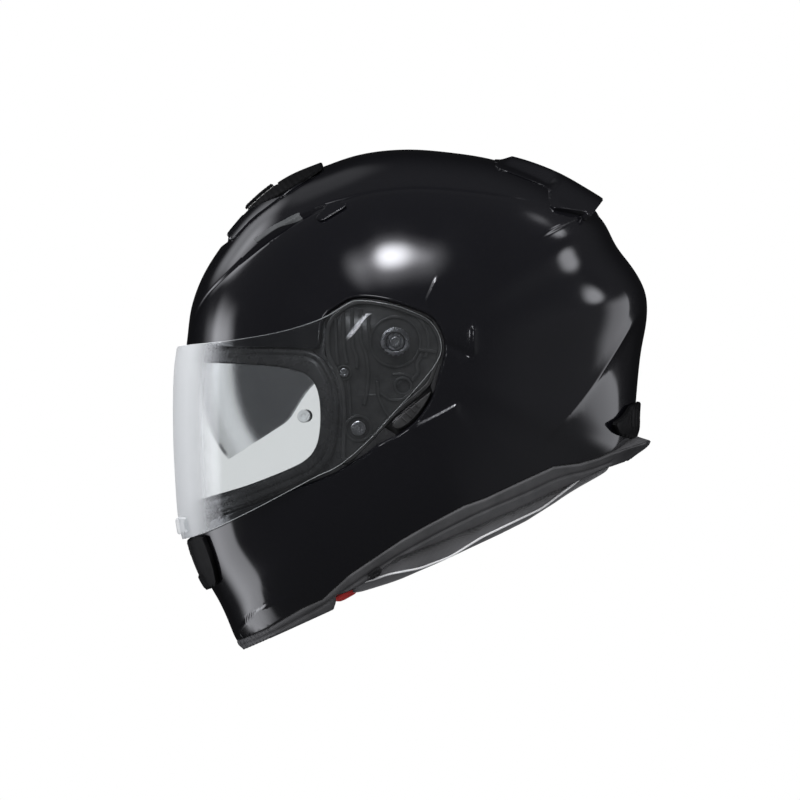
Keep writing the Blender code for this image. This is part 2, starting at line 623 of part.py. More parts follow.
def vent_rise(angle, rho):
    return 3.4


layer("top_vent_cover", GLOSS, -3.6, -0.5, cutter(TOP_VENT),
      [cutter([(-100, 104), (-92, 92), (-76, 108), (-84, 122)], -13, 13)])
add("top_vent_slider", form_mesh("top_slider", -6.2), SATIN, (0, -94, 116))
slider = bpy.data.objects["top_vent_slider"]
boolean(slider, form(-4.4))
boolean(slider, cutter([(-110, 112), (-96, 92), (-80, 106), (-92, 130)], -11, 11), "INTERSECT")
layer("rear_spoiler", GLOSS, -10.5, -0.5, cutter(SPOILER))
layer("chin_vent_frame", SATIN, -4.4, -0.5, cutter(CHIN_VENT),
      [cutter([(-160, -122.5), (-120, -116), (-112, -138), (-160, -152)], -18, 18)])
add("chin_vent_shutter", form_mesh("chin_shutter", -3.4), SATIN, (0, -139, -132))
shutter = bpy.data.objects["chin_vent_shutter"]
boolean(shutter, form(-0.9))
boolean(shutter, cutter([(-160, -125), (-120, -118.5), (-116, -128), (-160, -137)], -17, 17),
        "INTERSECT")
layer("rear_exhaust", SATIN, -3.2, -0.5, cutter(EXHAUST))
for side, tag in ((1, "left"), (-1, "right")):
    a, b = (8, 160) if side > 0 else (-160, -8)
    layer(f"crown_vent_{tag}", SATIN, -1.8, -0.5, cutter(CROWN_VENT, a, b))
sun_slider = layer("sun_visor_slider", SATIN, -3.4, -1.3,
                   cutter([(-22, -143), (-14, -137.6), (-11.6, -141.2), (-19.6, -146.6)], 5, 160),
                   origin=(95, -17, -142))

bpy.context.view_layer.update()
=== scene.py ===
import bpy
import bmesh
import numpy as np
from math import acos, asin, atan2, cos, degrees, exp, hypot, pi, radians, sin, sqrt
from mathutils import Matrix, Vector
from mathutils.geometry import delaunay_2d_cdt


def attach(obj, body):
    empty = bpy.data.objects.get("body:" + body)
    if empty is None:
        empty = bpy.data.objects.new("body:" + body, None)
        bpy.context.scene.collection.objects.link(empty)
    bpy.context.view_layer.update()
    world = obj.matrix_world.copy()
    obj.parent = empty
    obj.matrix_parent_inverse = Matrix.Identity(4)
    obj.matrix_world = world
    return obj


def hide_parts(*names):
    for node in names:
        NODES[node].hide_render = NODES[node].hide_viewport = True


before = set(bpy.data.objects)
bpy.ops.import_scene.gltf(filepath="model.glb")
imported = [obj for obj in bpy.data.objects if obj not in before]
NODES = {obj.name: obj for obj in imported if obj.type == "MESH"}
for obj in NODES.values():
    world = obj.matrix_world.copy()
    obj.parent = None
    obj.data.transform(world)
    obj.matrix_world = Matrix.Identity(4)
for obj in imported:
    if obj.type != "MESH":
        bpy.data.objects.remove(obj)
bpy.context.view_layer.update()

scene = bpy.context.scene

# ------------------------------------------------------------------ the helmet's own axes
# Millimetres in the worn attitude: x to the rider's left, y to the rear, z up, from the head's centre.
TILT = radians(24.9)
WORLD = (Matrix.Translation((0, 0.0058, 0.132)) @ Matrix.Rotation(-TILT, 4, "X")
         @ Matrix.Scale(0.001, 4))
W0 = 128.0
VISOR_T = 2.2
PIVOT = (-3.1, 11.6)
SUN_PIVOT = (-17.1, -3.1)
PLATE_OUT, PLATE_IN = 121.0, 115.0

OUTLINE = [(-142.5, 10), (-139.5, 33.5), (-131, 57), (-116, 79.5), (-97, 101.5), (-73.5, 119.5),
           (-52, 128.5), (-29.5, 136.5), (1.5, 140.5), (33.5, 138.5), (67, 132.5), (93.5, 122),
           (117, 108), (135, 94), (144.5, 75.5), (156.5, 60), (164.5, 43.5), (165, 29.5),
           (161, 6.5), (158.5, -16.5), (157, -36.5), (156.5, -55.5), (141.5, -81.5), (129, -101),
           (111.5, -123.5), (93.5, -144.5), (72, -165.5), (38.5, -183), (0, -196.5), (-49.5, -214),
           (-83, -210), (-109, -188.5), (-115, -172.5), (-124, -155), (-131.5, -143.5),
           (-135.5, -133.5), (-139, -123.5), (-142.5, -107), (-144.5, -80), (-145.5, -53.5),
           (-145.5, -26.5), (-144.5, -3.5)]
RIM = [(-122, -196.5), (-108.5, -188), (-87, -178), (-65, -165), (-51.5, -159), (-33.5, -142.5),
       (0, -120), (15.5, -111), (42, -97), (57.5, -91.5), (75.5, -83), (102, -71), (120, -69),
       (132.5, -65.5), (144.5, -60), (156.5, -55.5), (176, -49.5)]
TRIM_LOW = [(169, -54), (169.5, -57.5), (160, -64), (144.5, -70), (133.5, -74), (120, -80),
            (101.5, -88), (80, -98), (57.5, -108), (26.5, -121), (-1.5, -131.5), (-24.5, -145.5),
            (-43.5, -156.5)]
APERTURE = [(-173.5, 8.5), (-67, 8), (-53, 5.5), (-52, 28.5), (-37.5, 38.5), (-31.5, 41), (-22, 41.5),
            (-11.5, 40), (0, 37), (14, 32), (22, 28), (27.8, 18.5), (30, 10.5), (29.5, 2.5),
            (26, -8.5), (23, -21.5), (18.5, -30.5), (10.5, -41.5), (-2, -50.5), (-14, -55.5),
            (-19, -60), (-31.5, -68.5), (-42, -75), (-56, -81), (-67, -85), (-91.5, -94.5),
            (-118, -103.5), (-147, -113.5), (-173.5, -121)]
GASKET_OUT = [(-173.5, 8), (-67, 7.5), (-53, 3.5), (-46, -7.5), (-42, -18), (-40.5, -35.5),
              (-43, -62), (-53.5, -75.5), (-67, -82), (-91.5, -92), (-118, -101.5), (-147, -111.5),
              (-173.5, -119)]
GASKET_IN = [(-173.5, -1.5), (-117, -2), (-91.5, -3.5), (-76, -5.5), (-66, -8.5), (-59.5, -12),
             (-55, -19.5), (-53, -30), (-53, -47), (-56, -60), (-65, -69.5), (-78, -76),
             (-95.5, -83), (-107.5, -87.5), (-121, -91.5), (-147, -99), (-173.5, -104)]
VISOR = [(-170, 7.5), (-149.5, 8.5), (-140.5, 10), (-117, 12), (-92, 16), (-73.5, 20), (-52, 27),
         (-37.5, 36), (-31.5, 39.5), (-22, 39.5), (-11.5, 38), (-0.5, 35.5), (13.5, 30), (20.5, 26),
         (26, 18), (28, 10.5), (27.5, 3.5), (24, -3.5), (16, -14), (-2.5, -34), (-18, -51.5),
         (-31.5, -63.5), (-42, -72), (-56, -78), (-67, -84), (-91.5, -97), (-109, -105.5),
         (-128.5, -114.5), (-143, -119), (-170, -123.5)]
PLATE = [(-49.5, 26), (-36.5, 36.5), (-30.5, 39.5), (-22, 40), (-11.5, 38.5), (-0.5, 35.5),
         (13.5, 30.5), (21, 26.5), (26.5, 18), (28.5, 10.5), (28, 2.5), (24, -8.5), (20.5, -18),
         (-2, -36), (-16, -52), (-30.5, -66.5), (-38, -70.5), (-39.5, -62), (-38.5, -35.5),
         (-40, -18), (-44, -7), (-50, 3)]
LEVER = [(-1, -37), (20.5, -19.5), (21.3, -22), (17, -30), (9.5, -40), (-1, -47.5), (-7.5, -43.5)]
TOP_VENT = [(-121, 93), (-111, 105), (-98, 116), (-82, 125.5), (-66, 132.5), (-52, 136),
            (-52, 128.6), (-61.5, 121.5), (-78, 110), (-98, 95), (-113, 79)]
SPOILER = [(65, 131.5), (65, 146), (104, 140), (134, 121), (132.5, 106), (126.5, 95), (124.5, 95.5),
           (122.5, 98.0), (102, 102.3), (101, 117.5), (80, 126)]
CHIN_VENT = [(-155, -124), (-131.5, -116.5), (-127, -128), (-123.4, -140), (-121.8, -149.5),
             (-126.5, -152.5), (-152, -160)]
EXHAUST = [(142.5, -42.5), (149.6, -38), (155, -30), (176, -25), (176, -53), (160, -54.5), (147, -50.5)]
CROWN_VENT = [(-56, 94), (-47, 104), (-37, 104), (-35.5, 101.5), (-52, 91.5)]

# character lines moulded into the shell
CROWN_LINE = [(-140, 22), (-134.9, 33.4), (-129.6, 42.1), (-122.2, 50.1), (-108.9, 62.1),
              (-94.9, 74.8), (-81.5, 84.8), (-61.5, 97.2), (-46.8, 103.6), (-28.1, 109.3),
              (-15.4, 111.9), (0.0, 113.6), (13.4, 114.2), (40.1, 112.6), (68.8, 108.9),
              (86.8, 105.5), (104, 101.5)]
VENT_GROOVE = [(-141.5, 55), (-136, 66), (-128, 73.0), (-114.9, 79.5), (-106.9, 86.8), (-98.2, 94.9),
               (-78.2, 110.2), (-61.5, 121.6), (-52.1, 127.3)]
HINGE_UP = [(24.7, 56.1), (23.2, 53.4), (20.4, 46.8), (16.7, 38.6)]
HINGE_GROOVE = [(29.5, 10.2), (37.4, 6.7), (47.4, 0.0)]
LEVER_CREASE = [(39.4, -28.2), (33.4, -31.6), (27.4, -34.9), (21.4, -38.1), (16.3, -40.6), (11.1, -43.1), (6.0, -45.6)]
REAR_CREASE = [(161.0, 36.1), (158.2, 29.5), (144.3, 7.3), (123.6, -23.4), (104.2, -44.1),
               (84.0, -65.0)]
REAR_TOP = [(131.6, 97.5), (136.3, 80.2), (147.0, 53.4), (160.3, 31.4)]
SPOILER_FOLD = [(133.6, 97.5), (118.9, 94.2), (101.5, 85.5), (84.0, 74.5)]
CHIN_CREASE = [(-112, -184), (-107.5, -178.5), (-103.3, -173.5), (-98.9, -169.0), (-94.2, -165.4), (-85.5, -160.3),
               (-73, -156.2), (-60.8, -153.0)]


def rest_z(y, up=0.0):
    return (up - 132.0 + y * sin(TILT)) / cos(TILT)


def grow(points, d):
    """Moves a closed outline out by d along its corners' mean normals."""
    n = len(points)
    area = sum(points[i][0] * points[(i + 1) % n][1] - points[(i + 1) % n][0] * points[i][1]
               for i in range(n))
    s = 1 if area > 0 else -1
    out = []
    for i in range(n):
        a, b, c = (Vector(points[k]) for k in (i - 1, i, (i + 1) % n))
        e, f = (b - a).normalized(), (c - b).normalized()
        m = Vector((e.y + f.y, -e.x - f.x)) * s
        m = m.normalized() / max(0.5, sqrt(max(0.0, (1 + e.dot(f)) / 2)))
        out.append(tuple(b + m * d))
    return out


def rounded(points, passes=2, share=0.25, keep=None):
    """Corner cutting on a closed outline; keep is not used, and corners beyond 160 mm fore or aft stay sharp."""
    pts = [tuple(p) for p in points]
    for _ in range(passes):
        out = []
        n = len(pts)
        for i in range(n):
            a, b, c = Vector(pts[i - 1]), Vector(pts[i]), Vector(pts[(i + 1) % n])
            if abs(b.x) > 160:
                out.append(tuple(b))
                continue
            out.append(tuple(b.lerp(a, share)))
            out.append(tuple(b.lerp(c, share)))
        pts = out
    return pts


# ------------------------------------------------------------------ the shell's form
POLAR = sorted((atan2(z, y) % (2 * pi), hypot(y, z)) for y, z in OUTLINE)
_pa = np.array([p[0] for p in POLAR])
_pr = np.array([p[1] for p in POLAR])
_pa3 = np.concatenate([_pa - 2 * pi, _pa, _pa + 2 * pi])
_pr3 = np.tile(_pr, 3)
_pm3 = np.gradient(_pr3, _pa3)


def _hermite(a):
    i = np.clip(np.searchsorted(_pa3, a, side="right"), 1, len(_pa3) - 1)
    a1, a2, r1, r2 = _pa3[i - 1], _pa3[i], _pr3[i - 1], _pr3[i]
    h = a2 - a1
    t = (a - a1) / h
    return ((2 * t ** 3 - 3 * t * t + 1) * r1 + (t ** 3 - 2 * t * t + t) * _pm3[i - 1] * h
            + (3 * t * t - 2 * t ** 3) * r2 + (t ** 3 - t * t) * _pm3[i] * h)


# the outline is read once round and its ripples are smoothed out, as a polished mould's are
_TN = 1440
_ta = np.arange(_TN) * 2 * pi / _TN
_tr = _hermite(_ta)
_k = np.arange(-24, 25)
_kw = np.exp(-(_k * 0.25 / 1.7) ** 2 / 2)
_kw /= _kw.sum()
_tr = np.convolve(np.concatenate([_tr[-24:], _tr, _tr[:24]]), _kw, mode="valid")
_tr = np.append(_tr, _tr[0])


def R_of(a):
    f = (np.asarray(a) % (2 * pi)) / (2 * pi) * _TN
    i = np.minimum(f.astype(int), _TN - 1)
    t = f - i
    # cubic through four samples, so that the slope is smooth too
    p0, p1, p2, p3 = _tr[(i - 1) % _TN], _tr[i], _tr[i + 1], _tr[(i + 2) % _TN]
    return p1 + 0.5 * t * (p2 - p0 + t * (2 * p0 - 5 * p1 + 4 * p2 - p3
                                          + t * (3 * (p1 - p2) + p3 - p0)))


def expo(a):
    return 2.3 + 0.25 * np.maximum(0, np.cos(a - radians(235))) ** 1.0


K = 130.0  # millimetres per radian of the chart, about the real distance along the surface


def chart_of(y, z, d=0.0):
    """Chart angles (a, phi) of a point of the side view, on the form moved out by d."""
    a = np.arctan2(z, y)
    rho = np.hypot(y, z) / (R_of(a) + d)
    s = rho ** (expo(a) / 2)
    return a, np.where(s < 1, np.arcsin(np.minimum(s, 1)), pi / 2 + (s - 1))


def base_yz(a, phi):
    rho = np.sin(np.minimum(phi, pi / 2)) ** (2 / expo(a))
    r = rho * R_of(a)
    return r * np.cos(a), r * np.sin(a)


def place(a, phi, d):
    rho = np.sin(phi) ** (2 / expo(a))
    r = rho * (R_of(a) + d)
    return np.stack([np.cos(phi) * (W0 + d), r * np.cos(a), r * np.sin(a)], 1)


def shell_x(y, z, d=0.0):
    a, phi = chart_of(np.array([y], float), np.array([z], float), d)
    return float(np.cos(min(phi[0], pi / 2)) * (W0 + d))


def seg_dist(P, segs, chunk=4000):
    """Distance from points to a set of 2D segments."""
    A, B = segs[:, 0], segs[:, 1]
    D = B - A
    L = np.maximum((D ** 2).sum(1), 1e-12)
    out = np.empty(len(P))
    for i in range(0, len(P), chunk):
        p = P[i:i + chunk, None, :] - A[None]
        t = np.clip((p * D[None]).sum(2) / L[None], 0, 1)
        q = p - t[..., None] * D[None]
        out[i:i + chunk] = np.sqrt((q ** 2).sum(2).min(1))
    return out


def in_poly(P, poly, chunk=20000):
    x0, y0 = poly[:, 0], poly[:, 1]
    x1, y1 = np.roll(x0, -1), np.roll(y0, -1)
    out = np.zeros(len(P), bool)
    for i in range(0, len(P), chunk):
        px, py = P[i:i + chunk, 0:1], P[i:i + chunk, 1:2]
        cross = (y0[None] > py) != (y1[None] > py)
        with np.errstate(divide="ignore", invalid="ignore"):
            xi = (x1 - x0)[None] * (py - y0[None]) / (y1 - y0)[None] + x0[None]
        out[i:i + chunk] = (np.where(cross, px < xi, False).sum(1) % 2) == 1
    return out


def densify(points, step, closed=True):
    pts = np.array(points, float)
    nxt = np.roll(pts, -1, 0) if closed else pts[1:]
    cur = pts if closed else pts[:-1]
    out = []
    for p, q in zip(cur, nxt):
        n = max(1, int(np.ceil(np.hypot(*(q - p)) / step)))
        out += [p + (q - p) * k / n for k in range(n)]
    if not closed:
        out.append(pts[-1])
    return np.array(out)


def to_uv(points, d=0.0, step=2.5, closed=True):
    p = densify(points, step, closed)
    a, phi = chart_of(p[:, 0], p[:, 1], d)
    return np.stack([phi * K * np.cos(a), phi * K * np.sin(a)], 1)


class Line:
    """A crease: signed distance in the side view, positive to the left of its direction."""

    def __init__(self, pts, smooth=2):
        p = np.array(pts, float)
        for _ in range(smooth):
            q = [p[0]]
            for a, b in zip(p[:-1], p[1:]):
                q += [a * 0.75 + b * 0.25, a * 0.25 + b * 0.75]
            q.append(p[-1])
            p = np.array(q)
        self.p = p
        self.len = np.concatenate([[0], np.cumsum(np.hypot(*(p[1:] - p[:-1]).T))])

    def at(self, y, z, reach=60.0):
        """(signed distance, share along) for points; far points get the value reach."""
        P = np.stack([y, z], 1)
        lo, hi = self.p.min(0) - reach, self.p.max(0) + reach
        m = ((P >= lo) & (P <= hi)).all(1)
        s = np.full(len(P), float(reach))
        u = np.full(len(P), -1.0)
        idx = np.nonzero(m)[0]
        A, B = self.p[:-1], self.p[1:]
        D = B - A
        L = np.maximum((D ** 2).sum(1), 1e-12)
        for i in range(0, len(idx), 6000):
            k = idx[i:i + 6000]
            p = P[k][:, None, :] - A[None]
            t = np.clip((p * D[None]).sum(2) / L[None], 0, 1)
            q = p - t[..., None] * D[None]
            dd = (q ** 2).sum(2)
            j = dd.argmin(1)
            r = np.arange(len(k))
            sg = np.sign(D[j, 0] * p[r, j, 1] - D[j, 1] * p[r, j, 0])
            s[k] = np.sqrt(dd[r, j]) * np.where(sg == 0, 1, sg)
            u[k] = (self.len[j] + t[r, j] * np.sqrt(L[j])) / self.len[-1]
        return s, u


def ss(t):
    t = np.clip(t, 0, 1)
    return t * t * (3 - 2 * t)


def const(value):
    return lambda a, phi, y, z: np.full(np.shape(a), float(value))


MESHES = {}


def normals_of(P, dfun, dbase, h=0.22):
    """Unit normals of the form with its displacement, by central differences."""
    def F(Q):
        x, y, z = Q[:, 0], Q[:, 1], Q[:, 2]
        a, rr = np.arctan2(z, y), np.hypot(y, z)
        R, e = R_of(a), expo(a)
        phi = np.arctan2((rr / (R + dbase)) ** (e / 2), np.abs(x) / (W0 + dbase))
        by, bz = base_yz(a, phi)
        d = dfun(a, phi, by, bz)
        return (x / (W0 + d)) ** 2 + (rr / (R + d)) ** e
    g = np.zeros_like(P)
    for k in range(3):
        e = np.zeros(3)
        e[k] = h
        g[:, k] = F(P + e) - F(P - e)
    return g / np.maximum(np.linalg.norm(g, axis=1), 1e-12)[:, None]


def patch(name, keep, drop=(), outer=const(0), inner=const(-4), at=0.0, res=3.2, edge=0.8,
          band=None, band_drop=(), lines=(), side=0, rings=(0.12, 0.4, 0.75, 1.15), step=2.5,
          seam_open=False, base=0.0):
    """A piece of the form between two displacements.

    keep, drop: side-view outlines, met at offset at. band: (x0, x1) half widths it lies between.
    band_drop: (outline, x) windows cut where |x| < x. lines: creases that get their own vertices.
    edge: radius of its outer edge. side 0 makes both halves as one piece.
    """
    loops = [to_uv(k, at, step) for k in keep]
    n_keep = len(loops)
    loops += [to_uv(k, at, step) for k in drop]

    def circle(x):
        phi = acos(min(1, max(0, x / (W0 + at))))
        n = max(48, int(2 * pi * phi * K / step))
        t = np.arange(n) * 2 * pi / n
        return phi * K * np.stack([np.cos(t), np.sin(t)], 1)

    arcs = []
    if band:
        arcs = [(circle(x), acos(min(1, x / (W0 + at)))) for x in band if 0 < x < W0]
    windows = []
    for outline, x in band_drop:
        windows.append((to_uv(outline, at, step), acos(x / (W0 + at))))
        arcs.append((circle(x), windows[-1][1]))
        loops.append(windows[-1][0])

    def cond(P):
        phi = np.hypot(P[:, 0], P[:, 1]) / K
        ok = phi <= pi / 2 + 1e-6
        for q in loops[:n_keep]:
            ok &= in_poly(P, q)
        for q in loops[n_keep:n_keep + len(drop)]:
            ok &= ~in_poly(P, q)
        if band:
            x = np.cos(np.minimum(phi, pi / 2)) * (W0 + at)
            ok &= (x >= band[0] - 1e-6) & (x <= band[1] + 1e-6)
        for q, f in windows:
            ok &= ~(in_poly(P, q) & (phi >= f))
        return ok

    n_disc = 420
    t = np.arange(n_disc) * 2 * pi / n_disc
    disc = pi / 2 * K * np.stack([np.cos(t), np.sin(t)], 1)
    all_loops = loops + [c for c, _ in arcs]
    # only the parts of the loops that touch the piece are kept as constraints
    verts, edges = [], []

    def near_piece(pts, eps=0.25):
        nrm = np.roll(pts, -1, 0) - np.roll(pts, 1, 0)
        nrm = np.stack([-nrm[:, 1], nrm[:, 0]], 1) / np.maximum(np.hypot(*nrm.T), 1e-9)[:, None]
        return cond(pts + nrm * eps) != cond(pts - nrm * eps), nrm

    ring_pts = []
    edge_segs = []
    for pts in all_loops:
        on, nrm = near_piece(pts)
        k0 = len(verts)
        verts += [tuple(p) for p in pts]
        n = len(pts)
        grown = on | np.roll(on, 1) | np.roll(on, -1) | np.roll(on, 2) | np.roll(on, -2)
        for i in range(n):
            j = (i + 1) % n
            if grown[i] or grown[j]:
                edges.append((k0 + i, k0 + j))
                if on[i] or on[j]:
                    edge_segs.append((pts[i], pts[j]))
        for o in rings:
            for sgn in (1, -1):
                ring_pts.append(pts[on] + nrm[on] * o * edge * sgn)
    k0 = len(verts)
    verts += [tuple(p) for p in disc]
    edges += [(k0 + i, k0 + (i + 1) % n_disc) for i in range(n_disc)]
    segs = np.array(edge_segs)
    extra = np.concatenate(ring_pts) if ring_pts else np.zeros((0, 2))
    if len(extra):
        extra = extra[cond(extra)]
        d = seg_dist(extra, segs)
        extra = extra[d > rings[0] * edge * 0.9]
    line_pts = []
    for ln, offs in lines:
        p = densify(ln.p, 1.6, closed=False)
        n2 = np.gradient(p, axis=0)
        n2 = np.stack([-n2[:, 1], n2[:, 0]], 1) / np.maximum(np.hypot(*n2.T), 1e-9)[:, None]
        for o in offs:
            q = p + n2 * o
            a, phi = chart_of(q[:, 0], q[:, 1], at)
            line_pts.append(np.stack([phi * K * np.cos(a), phi * K * np.sin(a)], 1))
    if line_pts:
        lp = np.concatenate(line_pts)
        lp = lp[np.hypot(*lp.T) < pi / 2 * K - 0.5]
        lp = lp[cond(lp)]
        if len(lp):
            lp = lp[seg_dist(lp, segs) > edge * 1.3]
            # thin out where two creases meet
            key = np.round(lp / 0.45).astype(int)
            _, first = np.unique(key, axis=0, return_index=True)
            lp = lp[np.sort(first)]
    else:
        lp = np.zeros((0, 2))
    lo, hi = verts_lo_hi(loops[:n_keep])
    gx = np.arange(lo[0], hi[0], res)
    gy = np.arange(lo[1], hi[1], res * 0.866)
    G = np.array([(x + (0.5 * res if j % 2 else 0), y) for j, y in enumerate(gy) for x in gx])
    G = G[np.hypot(*G.T) < pi / 2 * K - 0.45 * res]
    G = G[cond(G)]
    G = G[seg_dist(G, segs) > max(0.55 * res, rings[-1] * edge + 0.3 * res)]
    if len(lp):
        # a coarse grid of the crease points says which grid points to leave out
        cell = {tuple(k) for k in np.round(lp / (0.5 * res)).astype(int)}
        keepg = [not any((i + di, j + dj) in cell for di in (-1, 0, 1) for dj in (-1, 0, 1))
                 for i, j in np.round(G / (0.5 * res)).astype(int)]
        G = G[np.array(keepg, bool)] if len(G) else G
    verts += [tuple(p) for p in extra] + [tuple(p) for p in lp] + [tuple(p) for p in G]
    vs, _, fs, *_ = delaunay_2d_cdt([Vector(v) for v in verts], edges, [], 0, 1e-4, False)
    P = np.array([tuple(v) for v in vs])
    T = np.array([f for f in fs if len(f) == 3])
    c = P[T].mean(1)
    e1, e2 = P[T[:, 1]] - P[T[:, 0]], P[T[:, 2]] - P[T[:, 0]]
    area = e1[:, 0] * e2[:, 1] - e1[:, 1] * e2[:, 0]
    T = T[cond(c) & (np.abs(area) > 1e-5)]
    area = None
    e1, e2 = P[T[:, 1]] - P[T[:, 0]], P[T[:, 2]] - P[T[:, 0]]
    flip = (e1[:, 0] * e2[:, 1] - e1[:, 1] * e2[:, 0]) < 0
    T[flip] = T[flip][:, ::-1]
    used = np.unique(T)
    remap = np.full(len(P), -1)
    remap[used] = np.arange(len(used))
    P, T = P[used], remap[T]
    phi = np.hypot(P[:, 0], P[:, 1]) / K
    a = np.arctan2(P[:, 1], P[:, 0])
    seam = phi > pi / 2 - 0.0009
    phi[seam] = pi / 2
    by, bz = base_yz(a, phi)
    # boundary edges
    E = np.concatenate([T[:, [0, 1]], T[:, [1, 2]], T[:, [2, 0]]])
    key = np.sort(E, 1)
    _, inv, cnt = np.unique(key, axis=0, return_inverse=True, return_counts=True)
    inv = inv.reshape(-1)
    bE = E[cnt[inv] == 1]
    if side == 0 or not seam_open:
        wall = bE[~(seam[bE[:, 0]] & seam[bE[:, 1]])] if side == 0 else bE
    bsegs = P[wall] if len(wall) else np.zeros((0, 2, 2))

    def outer_round(aa, pp, yy, zz):
        d = outer(aa, pp, yy, zz)
        if edge <= 0 or not len(bsegs):
            return d
        Q = np.stack([pp * K * np.cos(aa), pp * K * np.sin(aa)], 1)
        m = near_mask(Q)
        if m.any():
            dist = seg_dist(Q[m], bsegs)
            t = np.clip(1 - dist / edge, 0, 1)
            d = d.copy()
            d[m] -= edge * (1 - np.sqrt(np.maximum(0, 1 - t * t)))
        return d

    cellsz = max(3.0, edge * 1.5)
    bcell = set()
    for s0, s1 in bsegs:
        n = max(1, int(np.ceil(np.hypot(*(s1 - s0)) / (cellsz * 0.5))))
        for k in range(n + 1):
            q = s0 + (s1 - s0) * k / n
            i, j = int(round(q[0] / cellsz)), int(round(q[1] / cellsz))
            for di in (-1, 0, 1):
                for dj in (-1, 0, 1):
                    bcell.add((i + di) * 100003 + (j + dj))
    bcell = np.array(sorted(bcell)) if bcell else np.zeros(0, int)

    def near_mask(Q):
        k = np.round(Q / cellsz).astype(int)
        return np.isin(k[:, 0] * 100003 + k[:, 1], bcell)

    d_out = outer_round(a, phi, by, bz)
    d_in = inner(a, phi, by, bz)
    d_out = np.maximum(d_out, d_in + 0.05)
    Po, Pi = place(a, phi, d_out), place(a, phi, d_in)
    Po[seam, 0] = 0
    Pi[seam, 0] = 0
    No = normals_of(Po, outer_round, base)
    n = len(P)
    V = [Po, Pi]
    tri_o, tri_i = T, T[:, ::-1] + n
    quads = np.stack([wall[:, 1], wall[:, 0], wall[:, 0] + n, wall[:, 1] + n], 1)
    if side == 0:
        m = np.arange(2 * n) + 2 * n
        sm = np.nonzero(seam)[0]
        m[sm] = sm
        m[sm + n] = sm + n
        Mo = Po * [-1, 1, 1]
        Mi = Pi * [-1, 1, 1]
        V += [Mo, Mi]
        tri_o2, tri_i2 = m[tri_o[:, ::-1]], m[tri_i[:, ::-1]]
        quads2 = m[quads[:, ::-1]]
        tris = [tri_o, tri_o2, tri_i, tri_i2]
        n_outer = len(tri_o) * 2
        qs = [quads, quads2]
        N = np.concatenate([No, -No, No * [-1, 1, 1], -No * [-1, 1, 1]])
    elif side < 0:
        V = [Po * [-1, 1, 1], Pi * [-1, 1, 1]]
        tris = [tri_o[:, ::-1], tri_i[:, ::-1]]
        n_outer = len(tri_o)
        qs = [quads[:, ::-1]]
        N = np.concatenate([No * [-1, 1, 1], -No])
    else:
        tris = [tri_o, tri_i]
        n_outer = len(tri_o)
        qs = [quads]
        N = np.concatenate([No, -No])
    V = np.concatenate(V)
    tris = np.concatenate(tris)
    qs = np.concatenate(qs)
    return mesh_from(name, V, tris, qs, N, n_outer)


def verts_lo_hi(loops):
    p = np.concatenate(loops)
    lim = pi / 2 * K
    lo = np.maximum(p.min(0), -lim) + 0.13
    hi = np.minimum(p.max(0), lim)
    return lo, hi


def mesh_from(name, V, tris, quads, N=None, n_outer=0, sharp=38):
    """A mesh in world metres from worn millimetres; the first n_outer triangles take the normals N."""
    used = np.zeros(len(V), bool)
    used[tris.ravel()] = True
    if len(quads):
        used[quads.ravel()] = True
    remap = np.cumsum(used) - 1
    V = V[used]
    if N is not None:
        N = N[used]
    tris = remap[tris]
    quads = remap[quads] if len(quads) else quads
    R = np.array(WORLD)[:3, :3]
    Vw = V @ R.T + np.array(WORLD)[:3, 3]
    me = bpy.data.meshes.new(name)
    nv, nt, nq = len(Vw), len(tris), len(quads)
    me.vertices.add(nv)
    me.vertices.foreach_set("co", Vw.astype(np.float32).ravel())
    me.loops.add(nt * 3 + nq * 4)
    li = np.concatenate([tris.ravel(), quads.ravel() if nq else np.zeros(0, int)]).astype(np.int32)
    me.loops.foreach_set("vertex_index", li)
    me.polygons.add(nt + nq)
    ls = np.concatenate([np.arange(nt) * 3, nt * 3 + np.arange(nq) * 4]).astype(np.int32)
    me.polygons.foreach_set("loop_start", ls)
    me.update(calc_edges=True)
    me.validate(clean_customdata=False)
    me.shade_smooth()
    me.set_sharp_from_angle(angle=radians(sharp))
    if N is not None and n_outer and len(me.polygons) == nt + nq:
        Rn = R / 0.001
        Nw = N @ Rn.T
        cn = np.zeros(len(me.loops) * 3, np.float32)
        me.corner_normals.foreach_get("vector", cn)
        cn = cn.reshape(-1, 3)
        cn[:n_outer * 3] = Nw[tris[:n_outer].ravel()]
        me.normals_split_custom_set([tuple(v) for v in cn])
    return me


COLL = bpy.data.collections.new("helmet_looks")
scene.collection.children.link(COLL)


def piece(name, mesh, mat, body, nodes=()):
    ob = bpy.data.objects.new(name, mesh)
    COLL.objects.link(ob)
    if mat is not None:
        mesh.materials.clear()
        mesh.materials.append(mat)
    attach(ob, body)
    if nodes:
        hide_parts(*nodes)
    return ob


# ------------------------------------------------------------------ materials
def srgb(r, g, b):
    return tuple(((c / 255) / 12.92 if c / 255 <= 0.04045 else ((c / 255 + 0.055) / 1.055) ** 2.4)
                 for c in (r, g, b))


